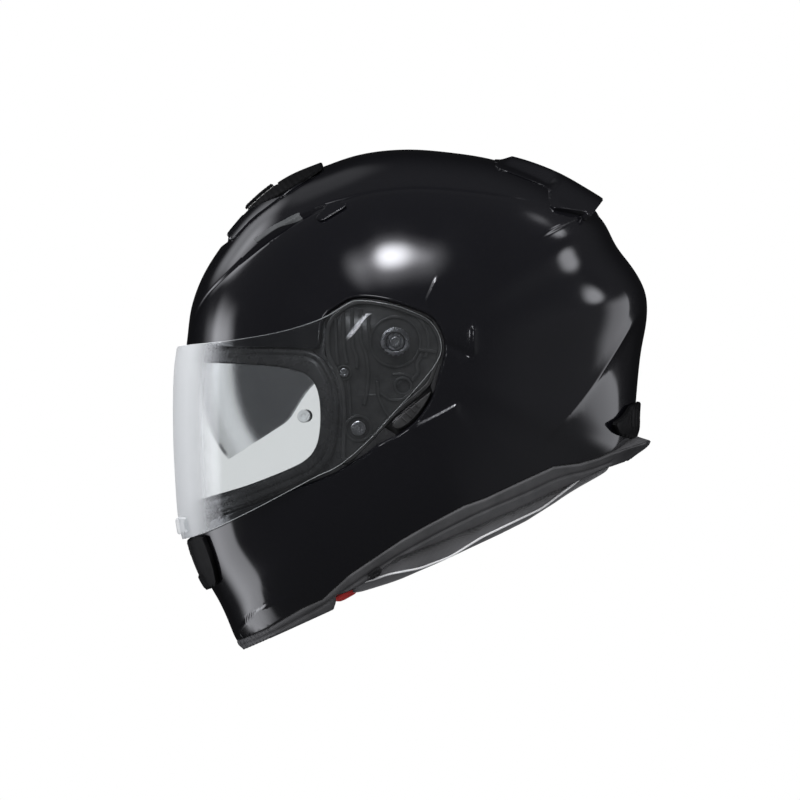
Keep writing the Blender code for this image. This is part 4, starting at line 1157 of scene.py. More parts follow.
plate_o = rounded(grow(PLATE, -0.5), 2, 0.22)
for side, tag in ((1, "left"), (-1, "right")):
    body = "helmet"
    # base plate: a floor with a raised rim, ribs, bosses and a pocket for the lever's spring
    top = PLATE_OUT - 1.5
    holes = [disc_pts(2.0, -17.5, 4.6, 28)]
    floor = prism("floor", plate_o, PLATE_IN, top - 1.0, 0.3, 1, side, holes)
    parts = [floor, prism("blind", disc_pts(2.0, -17.5, 5.6, 28), PLATE_IN + 0.2, PLATE_IN + 1.2, 0.1, 1, side),
             prism("bed", rounded(grow(LEVER, 2.8), 2, 0.22), PLATE_IN - 0.9, PLATE_IN + 0.7, 0.2, 1, side)]
    inner_o = rounded(grow(PLATE, -3.2), 2, 0.22)
    parts.append(prism("rim", plate_o, top - 1.3, PLATE_OUT, 0.35, 2, side, [inner_o[::-1]]))
    for path, w, hgt in (
            ([(-42.5, 27.5), (-42.2, 15), (-42.0, 5), (-40.6, -4)], 1.6, 0.9),
            ([(-37.5, 31.5), (-37.2, 18), (-37.0, 6), (-35.0, -3)], 1.8, 0.7),
            ([(-31.6, 34.0), (-31.6, 20), (-31.4, 8), (-28.6, 2), (-28.2, -6)], 1.8, 0.9),
            ([(-26.0, 33), (-26.2, 22), (-26.0, 12), (-22.0, 3), (-21.0, -9), (-21.5, -20), (-24, -30)], 1.7, 0.8),
            ([(-20.5, 31), (-20.8, 24), (-19.8, 14)], 1.3, 0.5),
            ([(-34.2, -14), (-33.0, -28), (-32.6, -38)], 1.4, 0.6),
            ([(-13, -22), (-6, -27), (2, -26.5), (8, -21)], 1.6, 0.8),
            ([(-15, -14), (-14.5, -24), (-10, -34), (-6, -39)], 1.6, 0.7),
            ([(12, 6.5), (20, 5.6), (24.5, 5.0)], 1.8, 0.9),
            ([(14.5, 4), (10.5, -3), (12.5, -9), (7.5, -14)], 2.0, 0.8),
            ([(-5, -10), (2, -9.2), (8.5, -12.0)], 1.4, 0.6)):
        q = densify(path, 2.0, closed=False)
        for _ in range(3):
            q[1:-1] = (q[:-2] + 2 * q[1:-1] + q[2:]) / 4
        parts.append(prism("rib", strip(q, w + 0.7), top - 1.4, top - 1.0 + hgt + 0.9, 0.75, 3, side))
    # wells and bosses
    for (cy, cz), r0, r1, h in (((-3.1, 11.6), 15.6, 17.4, 1.3), ((-27.6, -45.4), 7.2, 9.2, 1.3),
                                ((-36.9, -8.7), 3.9, 5.2, 1.1), ((2.0, -17.5), 4.6, 6.4, 1.2)):
        parts.append(prism("boss", disc_pts(cy, cz, r1, 48), top - 1.4, top - 1.0 + h, 0.35, 2, side,
                           [disc_pts(cy, cz, r0, 48)[::-1]]))
    # cam track beside the hinge
    parts.append(prism("cam", strip([( -3.1 + 22.0 * cos(t), 11.6 + 22.0 * sin(t))
                                     for t in np.linspace(radians(-28), radians(50), 14)], 2.2),
                       top - 1.4, top + 0.4, 0.35, 2, side))
    piece(f"hinge_base_{tag}", join(parts, f"hinge_base_{tag}"), MECH, body,
          [f"base_plate_{tag}"])
    # hub, screws
    hub = lathe("hub", [(0, 4.6), (3.6, 4.6), (4.0, 5.2), (5.4, 5.2), (6.0, 4.6), (6.0, 0), (0, 0)],
                *PIVOT, side, PLATE_OUT - 1.5 + 0.35)
    piece(f"hinge_hub_{tag}", hub, STEEL, body, [f"pivot_hub_{tag}"])
    piece(f"hinge_screw_{tag}", lathe("hs", screw_head(3.4, 1.1, 1.5, 0.75), *PIVOT, side,
                                      PLATE_OUT + 4.05), STEEL_BRIGHT, body,
          [f"pivot_screw_{tag}"])
    piece(f"base_screw_low_{tag}", lathe("ls", screw_head(5.0, 1.7, 2.2, 1.0, 0.7), -27.6, -45.4, side,
                                         PLATE_OUT - 0.2), STEEL_BRIGHT, body,
          [f"plate_screw_low_{tag}"])
    piece(f"base_screw_front_{tag}", lathe("fs", screw_head(3.0, 1.3, 1.3, 0.7, 0.5), -36.9, -8.7, side,
                                           PLATE_OUT - 0.2), STEEL_BRIGHT, body,
          [f"plate_screw_front_{tag}"])
    # visor's own hinge ring, with a few teeth
    teeth = []
    for k in range(72):
        t = 2 * pi * k / 72
        r = 9.6 if not (radians(200) < t < radians(330)) else (9.6 if k % 4 < 2 else 8.7)
        teeth.append((PIVOT[0] + r * cos(t), PIVOT[1] + r * sin(t)))
    gear = prism("gear", teeth, FLAT - 2.75, FLAT - 0.35, 0.25, 2, side, [disc_pts(*PIVOT, 6.5, 48)[::-1]])
    piece(f"visor_ring_{tag}", gear, STEEL, "visor", [f"visor_gear_{tag}"])
    # release lever with a ribbed thumb face
    lev = [prism("lever", rounded(grow(LEVER, -0.7), 2, 0.22), 116, 124.2, 0.7, 3, side)]
    for k in range(4):
        c = Vector((3.5 + 2.6 * k, -40.5 + 3.3 * k))
        lev.append(prism("grip", strip([(c.x - 2.6, c.y + 2.4), (c.x + 1.4, c.y - 1.0)], 1.0), 123.6, 124.9,
                         0.3, 2, side))
    piece(f"release_lever_{tag}", join(lev, f"release_lever_{tag}"), MECH, f"release_{tag}",
          [f"release_slider_{tag}"])
    # anti-fog insert pin
    xp = shell_x(-63.5, -37.4) - 2.4
    piece(f"insert_pin_{tag}", lathe("pin", [(0, 0.75), (1.6, 0.75), (1.9, 1.15), (3.7, 1.2), (4.3, 0.75),
                                             (4.3, 0), (0, 0)], -63.5, -37.4, side, xp), PIN,
          "visor", [f"pinlock_pin_{tag}"])

# ------------------------------------------------------------------ sun visor
SUN_R, SUN_HALF_W, SUN_T = 117.0, 98.0, 1.8


def sun_radius(x, extra=0.0):
    w = SUN_HALF_W + extra
    return (SUN_R + extra) * (1 - (abs(x) / w) ** 2.8) ** (1 / 2.2) if abs(x) < w else 0.0


def sun_blade():
    """The blade: a sheet turned about its hinge, its lower edge drawn up for the nose."""
    xs = 96.9 * np.sin(np.linspace(-pi / 2, pi / 2, 91))
    prof = []
    for x in xs:
        prof.append((x, max(5.0, sun_radius(x))))
    prof = np.array(prof)
    n_a = 44
    top, bottom = radians(157), radians(213)
    V, F = [], []
    for x, r in prof:
        # nose cut-out: the lower edge rises smoothly near the middle
        k = max(0.0, 1 - (abs(x) / 30.0) ** 2.2)
        low = bottom - radians(9.0) * ss(np.array([k]))[0]
        # rounded lower corners
        e = max(0.0, (abs(x) - 84) / 13.0)
        low -= radians(26) * e ** 2
        for j in range(n_a):
            a = top + (low - top) * j / (n_a - 1)
            V.append((x, SUN_PIVOT[0] + r * cos(a), SUN_PIVOT[1] + r * sin(a)))
    n = len(prof)
    for i in range(n - 1):
        for j in range(n_a - 1):
            F.append((i * n_a + j, i * n_a + j + 1, (i + 1) * n_a + j + 1, (i + 1) * n_a + j))
    me = bpy.data.meshes.new("tint_blade")
    me.from_pydata([tuple(v) for v in V], [], F)
    bm = bmesh.new()
    bm.from_mesh(me)
    bmesh.ops.recalc_face_normals(bm, faces=bm.faces)
    bm.transform(WORLD)
    bm.to_mesh(me)
    bm.free()
    ob = bpy.data.objects.new("tint_tmp", me)
    scene.collection.objects.link(ob)
    so = ob.modifiers.new("thick", "SOLIDIFY")
    so.thickness = SUN_T * 0.001
    so.offset = 0.0
    so.use_even_offset = True
    out = bpy.data.meshes.new_from_object(ob.evaluated_get(bpy.context.evaluated_depsgraph_get()))
    bpy.data.objects.remove(ob)
    out.shade_smooth()
    out.set_sharp_from_angle(angle=radians(40))
    return out


piece("tint_blade", sun_blade(), SMOKE, "sun_visor", ["sun_visor"])

# ------------------------------------------------------------------ vents and spoiler
def vent_out(a, phi, y, z):
    """The hood's glossy body, falling towards its lower edge."""
    x = np.cos(phi) * (W0 + 3.0)
    return 2.7 - 1.2 * ss((x - 18) / 30.0)


VENT_WINDOW = [(-106.5, 100), (-97, 88.5), (-76, 108), (-84, 122)]
top_me = patch("top_vent_body", [rounded(TOP_VENT, 1, 0.12)], outer=vent_out, inner=const(0.5), res=2.2,
               edge=0.8, at=2.0, base=2.4, band_drop=[(VENT_WINDOW, 13)])
piece("top_vent_body", top_me, LACQUER, "helmet", ["top_vent_cover"])


def hood_out(a, phi, y, z):
    """The hood's matt cap: fine ribs across it and a low spine."""
    x = np.cos(phi) * (W0 + 3.6)
    return (3.55 - 0.16 * (0.5 + 0.5 * np.cos((y * 0.78 + z * 0.62) * 2 * pi / 3.6)) * ss((x - 4) / 3.0)
            - 0.6 * ss((x - 16) / 22.0))


HOOD = [(-119, 92), (-111, 95.5), (-102.6, 100.0), (-89.3, 107.0), (-80.5, 110.5), (-72.3, 116.0),
        (-60.3, 123.2), (-52.4, 128.6), (-52, 138), (-66, 136), (-82, 130), (-98, 120), (-112, 108)]
hood_me = patch("top_vent_hood", [rounded(HOOD, 1, 0.12)], outer=hood_out, inner=const(1.2), res=1.6,
                edge=0.6, at=3.2, base=3.4, band_drop=[(VENT_WINDOW, 13)])
piece("top_vent_hood", hood_me, VENT_MATTE, "helmet")


def slide_out(a, phi, y, z):
    d = np.full(len(y), 5.6)
    return d - 0.22 * (0.5 + 0.5 * np.cos((y * 0.72 + z * 0.69) * 2 * pi / 2.4))


ts_me = patch("top_vent_slide", [[(-110, 112), (-96, 92), (-80, 106), (-92, 130)]], outer=slide_out,
              inner=const(3.75), res=1.2, edge=0.7, at=5.4, base=5.4, band=(0, 11))
piece("top_vent_slide", ts_me, VENT_MATTE, "top_vent", ["top_vent_slider"])
inlay_me = patch("crown_inlay", [rounded(strip([(-95.5, 78.4), (-84, 86.8), (-66, 96.0)], 2.8), 1, 0.1)],
                 outer=lambda a, phi, y, z: shell_out(a, phi, y, z) + 0.75,
                 inner=lambda a, phi, y, z: shell_out(a, phi, y, z) - 0.4, res=1.2, edge=0.3, at=1.0, base=1.0)
piece("crown_inlay", inlay_me, INLAY, "helmet")


def spoiler_out(a, phi, y, z):
    """Rises out of the crown in a step, then widens to its trailing edge."""
    x = np.cos(phi) * (W0 + 6)
    top = np.interp(y, [65, 67.5, 72.0, 88, 102, 115, 128, 138], [0.9, 2.0, 6.0, 7.6, 9.0, 9.9, 11.0, 11.0])
    low = np.interp(y, [65, 80, 98, 103, 120, 140], [0.8, 0.8, 0.9, 3.6, 5.6, 6.8])
    front = ss((x - 6) / 24.0)
    w = front + (ss((x - 14) / 40.0) - front) * ss((y - 97) / 8.0)
    d = top + (np.minimum(low, top) - top) * w
    return d


sp_me = patch("rear_wing", [rounded(SPOILER, 1, 0.12)], outer=spoiler_out, inner=const(0.3), res=1.6,
              edge=0.5, at=4.5, base=6.0)
piece("rear_wing", sp_me, LACQUER, "helmet", ["rear_spoiler"])


def chinv_out(a, phi, y, z):
    x = np.cos(phi) * (W0 + 4)
    return 4.4 - 0.9 * ss((x - 30) / 18.0) - 0.5 * np.exp(-((x - 24) / 2.2) ** 2)


cv_me = patch("chin_vent_bezel", [rounded(CHIN_VENT, 1, 0.15)], outer=chinv_out, inner=const(0.5), res=2.0,
              edge=1.0, at=3.0, base=4.0,
              band_drop=[([(-160, -122.5), (-120, -116), (-112, -138), (-160, -152)], 18)])
piece("chin_vent_bezel", cv_me, VENT_MATTE, "helmet", ["chin_vent_frame"])


def shut_out(a, phi, y, z):
    return 3.4 - 0.8 * (0.5 + 0.5 * np.cos(z * 2 * pi / 3.6))


cs_me = patch("chin_vent_flap", [[(-160, -125), (-120, -118.5), (-116, -128), (-160, -137)]],
              outer=shut_out, inner=const(0.9), res=1.3, edge=0.6, at=3.2, base=3.0, band=(0, 17))
piece("chin_vent_flap", cs_me, VENT_MATTE, "chin_vent", ["chin_vent_shutter"])


def exh_out(a, phi, y, z):
    x = np.cos(phi) * (W0 + 3)
    return 1.0 + 2.4 * ss((z + 56) / 14.0) - 0.8 * (0.5 + 0.5 * np.cos(x * 2 * pi / 9.0)) * ss((46 - x) / 6) * ss((z + 45) / 3) * ss((-30 - z) / 3)


ex_me = patch("rear_outlet", [rounded(EXHAUST, 1, 0.15)], outer=exh_out, inner=const(0.5), res=1.8, edge=0.9,
              at=3.0, base=3.0)
piece("rear_outlet", ex_me, VENT_MATTE, "helmet", ["rear_exhaust"])
for s, tag in ((1, "left"), (-1, "right")):
    cm = patch(f"crown_inlet_{tag}", [rounded(CROWN_VENT, 1, 0.15)], outer=const(1.9), inner=const(0.5),
               res=1.4, edge=0.6, at=1.5, base=1.9, side=s)
    piece(f"crown_inlet_{tag}", cm, LACQUER, "helmet", [f"crown_vent_{tag}"])
ss_me = patch("sun_lever", [rounded([(-22, -143), (-14, -137.6), (-11.6, -141.2), (-19.6, -146.6)], 1, 0.2)],
              outer=lambda a, phi, y, z: 3.4 - 0.5 * (0.5 + 0.5 * np.cos((y + z * 0.3) * 2 * pi / 1.8)),
              inner=const(1.3), res=0.9, edge=0.5, at=3.2, base=3.2, side=1)
piece("sun_lever", ss_me, VENT_SATIN, "sun_slider", ["sun_visor_slider"])

# ------------------------------------------------------------------ chin curtain, deflector, pull tabs
cur_poly = ([(-124, -196)] + [(y, z - 1) for y, z in RIM[1:6]]
            + [(-46, rest_z(-46, 8)), (-60, rest_z(-60, 2.5)), (-124, rest_z(-124, 2.5))])
cur_me = patch("chin_curtain_cloth", [rounded(cur_poly, 1, 0.15)],
               outer=lambda a, phi, y, z: -7.6 + 0.5 * np.sin(phi * K / 4.5 + 0.3 * np.sin(y * 0.3)),
               inner=lambda a, phi, y, z: -8.6 + 0.5 * np.sin(phi * K / 4.5 + 0.3 * np.sin(y * 0.3)),
               res=2.6, edge=0.3, at=-7.6, base=-7.6)
curtain = piece("chin_curtain_cloth", cur_me, MESHCLOTH, "helmet", ["chin_curtain"])
def_me = patch("nose_guard", [rounded([(-170, -106), (-128, -95.5), (-104, -88), (-104, -95.5), (-128, -104),
                                       (-170, -116)], 1, 0.2)], outer=const(-8.0), inner=const(-10.5),
               res=2.2, edge=0.9, at=-8.0, base=-8.0, band=(0, 46))
piece("nose_guard", def_me, RUBBER, "helmet", ["breath_deflector"])
for s, tag in ((1, "left"), (-1, "right")):
    pm = patch(f"pull_loop_{tag}", [rounded([(-42.5, -157.6), (-29, -151.5), (-28, -154.5), (-38.5, -160.5),
                                             (-43, -160.5)], 1, 0.2)], outer=const(-12.0),
               inner=const(-14.5), res=1.2, edge=0.7, at=-12, base=-12, side=s)
    piece(f"pull_loop_{tag}", pm, RED, "helmet", [f"pull_tab_{tag}"])


# ------------------------------------------------------------------ liner and padding
def copy_of(node, name):
    me = NODES[node].data.copy()
    me.materials.clear()
    ob = bpy.data.objects.new(name, me)
    COLL.objects.link(ob)
    return ob


def evaluated(ob):
    bpy.context.view_layer.update()
    me = bpy.data.meshes.new_from_object(ob.evaluated_get(bpy.context.evaluated_depsgraph_get()))
    return me


def finer(node, name, voxel, smooth=3, factor=0.5):
    """A node's solid remeshed evenly and eased, as foam and cloth soften every corner."""
    ob = copy_of(node, name)
    r = ob.modifiers.new("remesh", "REMESH")
    r.mode = "VOXEL"
    r.voxel_size = voxel
    s = ob.modifiers.new("ease", "SMOOTH")
    s.factor = factor
    s.iterations = smooth
    me = evaluated(ob)
    ob.modifiers.clear()
    ob.data = me
    me.shade_smooth()
    return ob


def puff(ob, pressure, cap, frames=18, pins=None, stiff=12.0):
    """Inflates a pad as cloth, with its travel capped, and leaves the result in the mesh."""
    n = len(ob.data.vertices)
    rest = np.zeros(n * 3, np.float32)
    ob.data.vertices.foreach_get("co", rest)
    rest = rest.reshape(-1, 3)
    c = ob.modifiers.new("cloth", "CLOTH")
    st_ = c.settings
    st_.quality = 4
    st_.mass = 0.15
    st_.tension_stiffness = st_.compression_stiffness = stiff
    st_.shear_stiffness = stiff * 0.5
    st_.bending_stiffness = 0.4
    st_.use_pressure = True
    st_.uniform_pressure_force = pressure
    st_.effector_weights.gravity = 0
    c.collision_settings.use_collision = False
    c.collision_settings.use_self_collision = False
    c.point_cache.frame_start, c.point_cache.frame_end = 1, frames
    if pins is not None:
        g = ob.vertex_groups.new(name="pin")
        g.add([int(i) for i in pins], 1.0, "REPLACE")
        st_.vertex_group_mass = "pin"
    for f in range(1, frames + 1):
        scene.frame_set(f)
    me = evaluated(ob)
    co = np.zeros(n * 3, np.float32)
    me.vertices.foreach_get("co", co)
    co = co.reshape(-1, 3)
    bpy.data.meshes.remove(me)
    ob.modifiers.clear()
    ob.vertex_groups.clear()
    scene.frame_set(1)
    mv = co - rest
    ln = np.linalg.norm(mv, axis=1)
    mv *= (np.minimum(1, cap / np.maximum(ln, 1e-9)))[:, None]
    mv[~np.isfinite(mv).all(1)] = 0
    ob.data.vertices.foreach_set("co", (rest + mv).astype(np.float32).ravel())
    ob.data.update()
    return ob


def relax(ob, passes, factor=0.5):
    s = ob.modifiers.new("ease", "SMOOTH")
    s.factor, s.iterations = factor, passes
    me = evaluated(ob)
    ob.modifiers.clear()
    ob.data = me
    me.shade_smooth()
    return ob


def shrink(ob, d):
    """Moves the surface in along its normals, so that the pad has room to swell."""
    me = ob.data
    n = len(me.vertices)
    co, no = np.zeros(n * 3, np.float32), np.zeros(n * 3, np.float32)
    me.vertices.foreach_get("co", co)
    me.vertices.foreach_get("normal", no)
    me.vertices.foreach_set("co", (co - no * d))
    me.update()
    return ob


def worn_of(ob):
    """Vertex positions in worn millimetres, and normals."""
    me = ob.data
    n = len(me.vertices)
    co, no = np.zeros(n * 3, np.float32), np.zeros(n * 3, np.float32)
    me.vertices.foreach_get("co", co)
    me.vertices.foreach_get("normal", no)
    inv = np.array(WORLD.inverted())
    P = co.reshape(-1, 3) @ inv[:3, :3].T + inv[:3, 3]
    return P, no.reshape(-1, 3), co.reshape(-1, 3)


def press(ob, depth):
    """Moves the surface in by depth(P) millimetres, for seams and sewn channels."""
    P, no, co = worn_of(ob)
    d = depth(P)
    ob.data.vertices.foreach_set("co", (co - no * (d * 0.001)[:, None]).astype(np.float32).ravel())
    ob.data.update()
    return ob


def soft(node, name, voxel, mat, slot, pressure=3.5, cap=0.004, give=0.0012, seams=None, eases=4, fill=0.7,
         sub=1, reach=None):
    ob = finer(node, name, voxel, eases)
    shrink(ob, give)
    puff(ob, pressure, cap)
    relax(ob, 3)
    if sub:
        sd = ob.modifiers.new("subdivide", "SUBSURF")
        sd.levels = sd.render_levels = sub
        me = evaluated(ob)
        ob.modifiers.clear()
        ob.data = me
    if reach is not None:
        P, _, _ = worn_of(ob)
        P = reach(P)
        R = np.array(WORLD)
        ob.data.vertices.foreach_set("co", (P @ R[:3, :3].T + R[:3, 3]).astype(np.float32).ravel())
        ob.data.update()
    if seams is not None:
        press(ob, seams)
    ob.data.shade_smooth()
    ob.data.materials.clear()
    ob.data.materials.append(mat)
    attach(ob, "helmet")
    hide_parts(node)
    return ob


def channel(s, width, depth):
    return depth * np.exp(-(s / width) ** 2)


L_NECK1 = Line([(-20, -139), (2, -129), (30, -117.5), (58, -105.5), (84, -95), (108, -84)])
L_TUCK = Line([(57.5, -89), (66, -98.5), (75, -101)])


def neck_seams(P):
    y, z = P[:, 1].astype(float), P[:, 2].astype(float)
    s1, _ = L_NECK1.at(y, z, 30)
    s2, _ = L_TUCK.at(y, z, 20)
    out = np.abs(P[:, 0]) > 30
    folds = 0.5 * np.sin((y * 0.9 + z * 0.5) / 6.0) * np.exp(-((z + 108 - y * 0.45) / 12) ** 2)
    return channel(s1, 1.5, 1.0) * out + channel(s2, 1.6, 1.2) * out + folds * out


def pad_seams(P):
    x, y, z = P[:, 0], P[:, 1], P[:, 2]
    g = np.full(len(P), 1e9)
    for c in (-54, -27, 0, 27, 54):
        g = np.minimum(g, np.abs(x - c))
    g2 = np.minimum(np.abs(y - 20), np.abs(y + 30))
    return channel(g, 1.6, 1.4) + channel(g2, 1.6, 1.1) * (z > 40)


def cheek_seams(P):
    y, z = P[:, 1], P[:, 2]
    g = np.abs((y + 8) * 0.5 + (z + 88) * 0.86)
    g2 = np.abs((y + 8) * 0.5 + (z + 62) * 0.86)
    return channel(g, 1.6, 1.3) + channel(g2, 1.6, 1.1)


def draw_out(P):
    """The roll's front end narrows to a tip under the trim."""
    P = P.astype(np.float64).copy()
    t = np.clip((4 - P[:, 1]) / 28.0, 0, 1) * (np.abs(P[:, 0]) > 40)
    P[:, 1] -= 8.5 * t ** 2
    mid = -153.5 + (P[:, 1] + 26) * 0.46
    P[:, 2] += (mid - P[:, 2]) * 0.55 * t ** 2
    return P


soft("neck_roll", "neck_roll_cushion", 0.0032, NECK, "neck_cloth", 3.0, 0.0022, 0.0006, neck_seams,
     reach=draw_out)
soft("crown_pad", "crown_cushion", 0.0036, MESHCLOTH, "mesh_cloth", 3.0, 0.0030, 0.0010, pad_seams)
for tag in ("left", "right"):
    soft(f"cheek_pad_{tag}", f"cheek_cushion_{tag}", 0.0034, LINER, "liner", 4.0, 0.0040, 0.0014, cheek_seams)

for node, name, vox in (("eps_liner", "impact_liner", 0.0030), ("eps_chin", "impact_liner_chin", 0.0028)):
    ob = finer(node, name, vox, 2)
    ob.data.materials.append(EPS)
    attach(ob, "helmet")
    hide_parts(node)


# ------------------------------------------------------------------ straps and rings (resting axes)
STRAP_Y = -21.0
DROP = [(110, 62), (108.5, 46), (101.5, 33), (93, 23), (87.3, 15), (79, 9.5), (66, 6.5)]


def band_mesh(name, path, side, width=22.0, thick=1.6):
    """Flat webbing along a path in the x-z plane, with a rolled selvedge and a herringbone rib."""
    p = np.array([(side * x, z) for x, z in path], float)
    for _ in range(2):
        q = [p[0]]
        for a, b in zip(p[:-1], p[1:]):
            q += [a * 0.75 + b * 0.25, a * 0.25 + b * 0.75]
        q.append(p[-1])
        p = np.array(q)
    p = densify(p, 1.0, closed=False)
    t = np.gradient(p, axis=0)
    n = np.stack([-t[:, 1], t[:, 0]], 1) / np.maximum(np.hypot(*t.T), 1e-9)[:, None]
    ncross = 23
    V, F = [], []
    ws = np.linspace(-width / 2, width / 2, ncross)
    loop = []
    for w in ws:
        edge_t = np.clip((width / 2 - abs(w)) / 1.2, 0, 1)
        rib = 0.10 * (1 if int((w + width) // 2) % 2 else -1)
        loop.append((w, thick / 2 * (0.45 + 0.55 * sqrt(edge_t)) + rib * edge_t))
    for w, h in loop[::-1]:
        pass
    ring = [(w, h) for w, h in loop] + [(w, -h) for w, h in loop[::-1]]
    m_ = len(ring)
    for k, (c, nn) in enumerate(zip(p, n)):
        for w, h in ring:
            wob = 0.06 * sin(k * 2.1 + w * 1.3)
            V.append((c[0] + nn[0] * (h + wob * (h > 0)), STRAP_Y + w, c[1] + nn[1] * (h + wob * (h > 0))))
    for k in range(len(p) - 1):
        for j in range(m_):
            a, b = k * m_ + j, k * m_ + (j + 1) % m_
            F.append((a, b, b + m_, a + m_))
    F.append(tuple(range(m_))[::-1])
    F.append(tuple((len(p) - 1) * m_ + j for j in range(m_)))
    V = [(x / 1000, (y + 5.8) / 1000, z / 1000) for x, y, z in V]
    me = bpy.data.meshes.new(name)
    me.from_pydata(V, [], F)
    bm = bmesh.new()
    bm.from_mesh(me)
    bmesh.ops.recalc_face_normals(bm, faces=bm.faces)
    bm.to_mesh(me)
    bm.free()
    me.shade_smooth()
    me.set_sharp_from_angle(angle=radians(50))
    return me


piece("strap_webbing_left", band_mesh("sl", DROP + [(38, 6)], 1), WEBBING, "helmet",
      ["chin_strap_left"])
piece("strap_webbing_right", band_mesh("sr", DROP + [(38, 6), (14, 6), (6, 7), (1, 9)], -1), WEBBING,
      "helmet", ["chin_strap_right"])
for node, name, zc in (("d_ring_lower", "ring_lower", 6.0), ("d_ring_upper", "ring_upper", 10.0)):
    cu = bpy.data.curves.new(name, "CURVE")
    cu.dimensions = "3D"
    cu.bevel_depth = 0.00158
    cu.bevel_resolution = 5
    pts = [(33.5, -13), (33.5, 13)]
    pts += [(21 + 14 * cos(radians(a)), 13 * sin(radians(a))) for a in range(60, 301, 8)]
    pts = [(q[0], q[1]) for q in rounded(pts, 2, 0.2)]
    sp = cu.splines.new("POLY")
    sp.points.add(len(pts) - 1)
    for q, (x, y) in zip(sp.points, pts):
        q.co = (x / 1000, (y + STRAP_Y + 5.8) / 1000, zc / 1000, 1)
    sp.use_cyclic_u = True
    tmp = bpy.data.objects.new(name, cu)
    scene.collection.objects.link(tmp)
    me = evaluated(tmp)
    bpy.data.objects.remove(tmp)
    me.shade_smooth()
    piece(name, me, STEEL_BRIGHT, "d_rings", [node])
for side, tag in ((1, "left"), (-1, "right")):
    piece(f"strap_stud_{tag}", lathe("stud", [(0, 3.2), (4.4, 3.2), (6.0, 2.7), (7.0, 1.2), (7.0, 0), (0, 0)],
                                     10, -72, side, 112.2), STEEL_BRIGHT, "helmet",
          [f"strap_rivet_{tag}"])
    piece(f"tint_pivot_{tag}", lathe("tp", [(0, 18.5), (3.2, 18.5), (3.9, 17.8), (3.9, 0), (0, 0)],
                                     *SUN_PIVOT, side, 95), STEEL_BRIGHT, "helmet",
          [f"sun_pivot_{tag}"])

# ------------------------------------------------------------------ piping along the neck roll
def surface_tube(name, path, off, radius, side, steps=10):
    p = densify(path, 1.5, closed=False)
    for _ in range(4):
        p[1:-1] = (p[:-2] + 2 * p[1:-1] + p[2:]) / 4
    a, phi = chart_of(p[:, 0], p[:, 1], off)
    phi = np.minimum(phi, pi / 2 - 0.01)
    C = place(a, phi, np.full(len(a), off)) * [side, 1, 1]
    T = np.gradient(C, axis=0)
    T /= np.linalg.norm(T, axis=1)[:, None]
    up = np.array([1.0 * side, 0, 0])
    B = np.cross(T, up)
    B /= np.linalg.norm(B, axis=1)[:, None]
    U = np.cross(B, T)
    V, F = [], []
    n = len(C)
    for i in range(n):
        r = radius * min(1.0, 0.25 + i / 6, 0.25 + (n - 1 - i) / 6)
        for k in range(steps):
            t = 2 * pi * k / steps
            V.append(C[i] + B[i] * r * cos(t) + U[i] * r * sin(t))
    for i in range(n - 1):
        for k in range(steps):
            F.append((i * steps + k, i * steps + (k + 1) % steps, (i + 1) * steps + (k + 1) % steps,
                      (i + 1) * steps + k))
    me = bpy.data.meshes.new(name)
    me.from_pydata([tuple(WORLD @ Vector(v)) for v in V], [],
                   F + [tuple(range(steps))[::-1], tuple((n - 1) * steps + k for k in range(steps))])
    bm = bmesh.new()
    bm.from_mesh(me)
    bmesh.ops.recalc_face_normals(bm, faces=bm.faces)
    bm.to_mesh(me)
    bm.free()
    me.shade_smooth()
    return me


for side, tag in ((1, "left"), (-1, "right")):
    path = [(-24, -147.5), (-8, -142.0), (13.4, -138.0), (33, -130.5), (54, -117.5), (74, -108), (94, -98.5), (112, -85), (120, -79)]
    piece(f"neck_piping_{tag}", surface_tube("piping", path, -0.6, 0.75, side), PIPING, "helmet")


# ------------------------------------------------------------------ stage
def stage_plane(name, size, z, strength):
    me = bpy.data.meshes.new(name)
    me.from_pydata([(-size, -size, z), (size, -size, z), (size, size, z), (-size, size, z)], [], [(0, 1, 2, 3)])
    ob = bpy.data.objects.new(name, me)
    scene.collection.objects.link(ob)
    m = bpy.data.materials.new(name)
    m.use_nodes = True
    t = m.node_tree
    t.nodes.clear()
    e = t.nodes.new("ShaderNodeEmission")
    e.inputs["Strength"].default_value = strength
    o = t.nodes.new("ShaderNodeOutputMaterial")
    t.links.new(e.outputs[0], o.inputs["Surface"])
    me.materials.append(m)
    return ob


floor = stage_plane("floor", 12.0, -0.0006, 1.0)
floor.visible_glossy = False
floor.visible_diffuse = False
floor.visible_shadow = False

world = bpy.data.worlds.new("studio")
scene.world = world
world.use_nodes = True
wt = world.node_tree
wt.nodes.clear()
WN = lambda kind: wt.nodes.new(kind)
coord = WN("ShaderNodeTexCoord")
out = WN("ShaderNodeOutputWorld")
bg_cam, bg_env, mixs, lp = (WN("ShaderNodeBackground"), WN("ShaderNodeBackground"),
                            WN("ShaderNodeMixShader"), WN("ShaderNodeLightPath"))
bg_cam.inputs["Color"].default_value = (1, 1, 1, 1)
bg_cam.inputs["Strength"].default_value = 1.0


def wmath(op, a, b=None):
    n = WN("ShaderNodeMath")
    n.operation = op
    for k, v in enumerate((a, b)):
        if v is None:
            continue
        if isinstance(v, (int, float)):
            n.inputs[k].default_value = v
        else:
            wt.links.new(v, n.inputs[k])
    return n.outputs[0]


def reflect_dir(y, z, d=0.0, form=None):
    """Where the camera's line of sight goes after it meets the form at (y, z), in world axes."""
    a, phi = chart_of(np.array([y], float), np.array([z], float), d)
    P = place(a, phi, np.full(1, d))
    n = normals_of(P, form or const(d), d, 2.0 if form else 0.22)[0]
    r = 2 * n[0] * n - np.array([1.0, 0, 0])
    w = np.array(WORLD)[:3, :3] @ r
    return Vector(w).normalized()


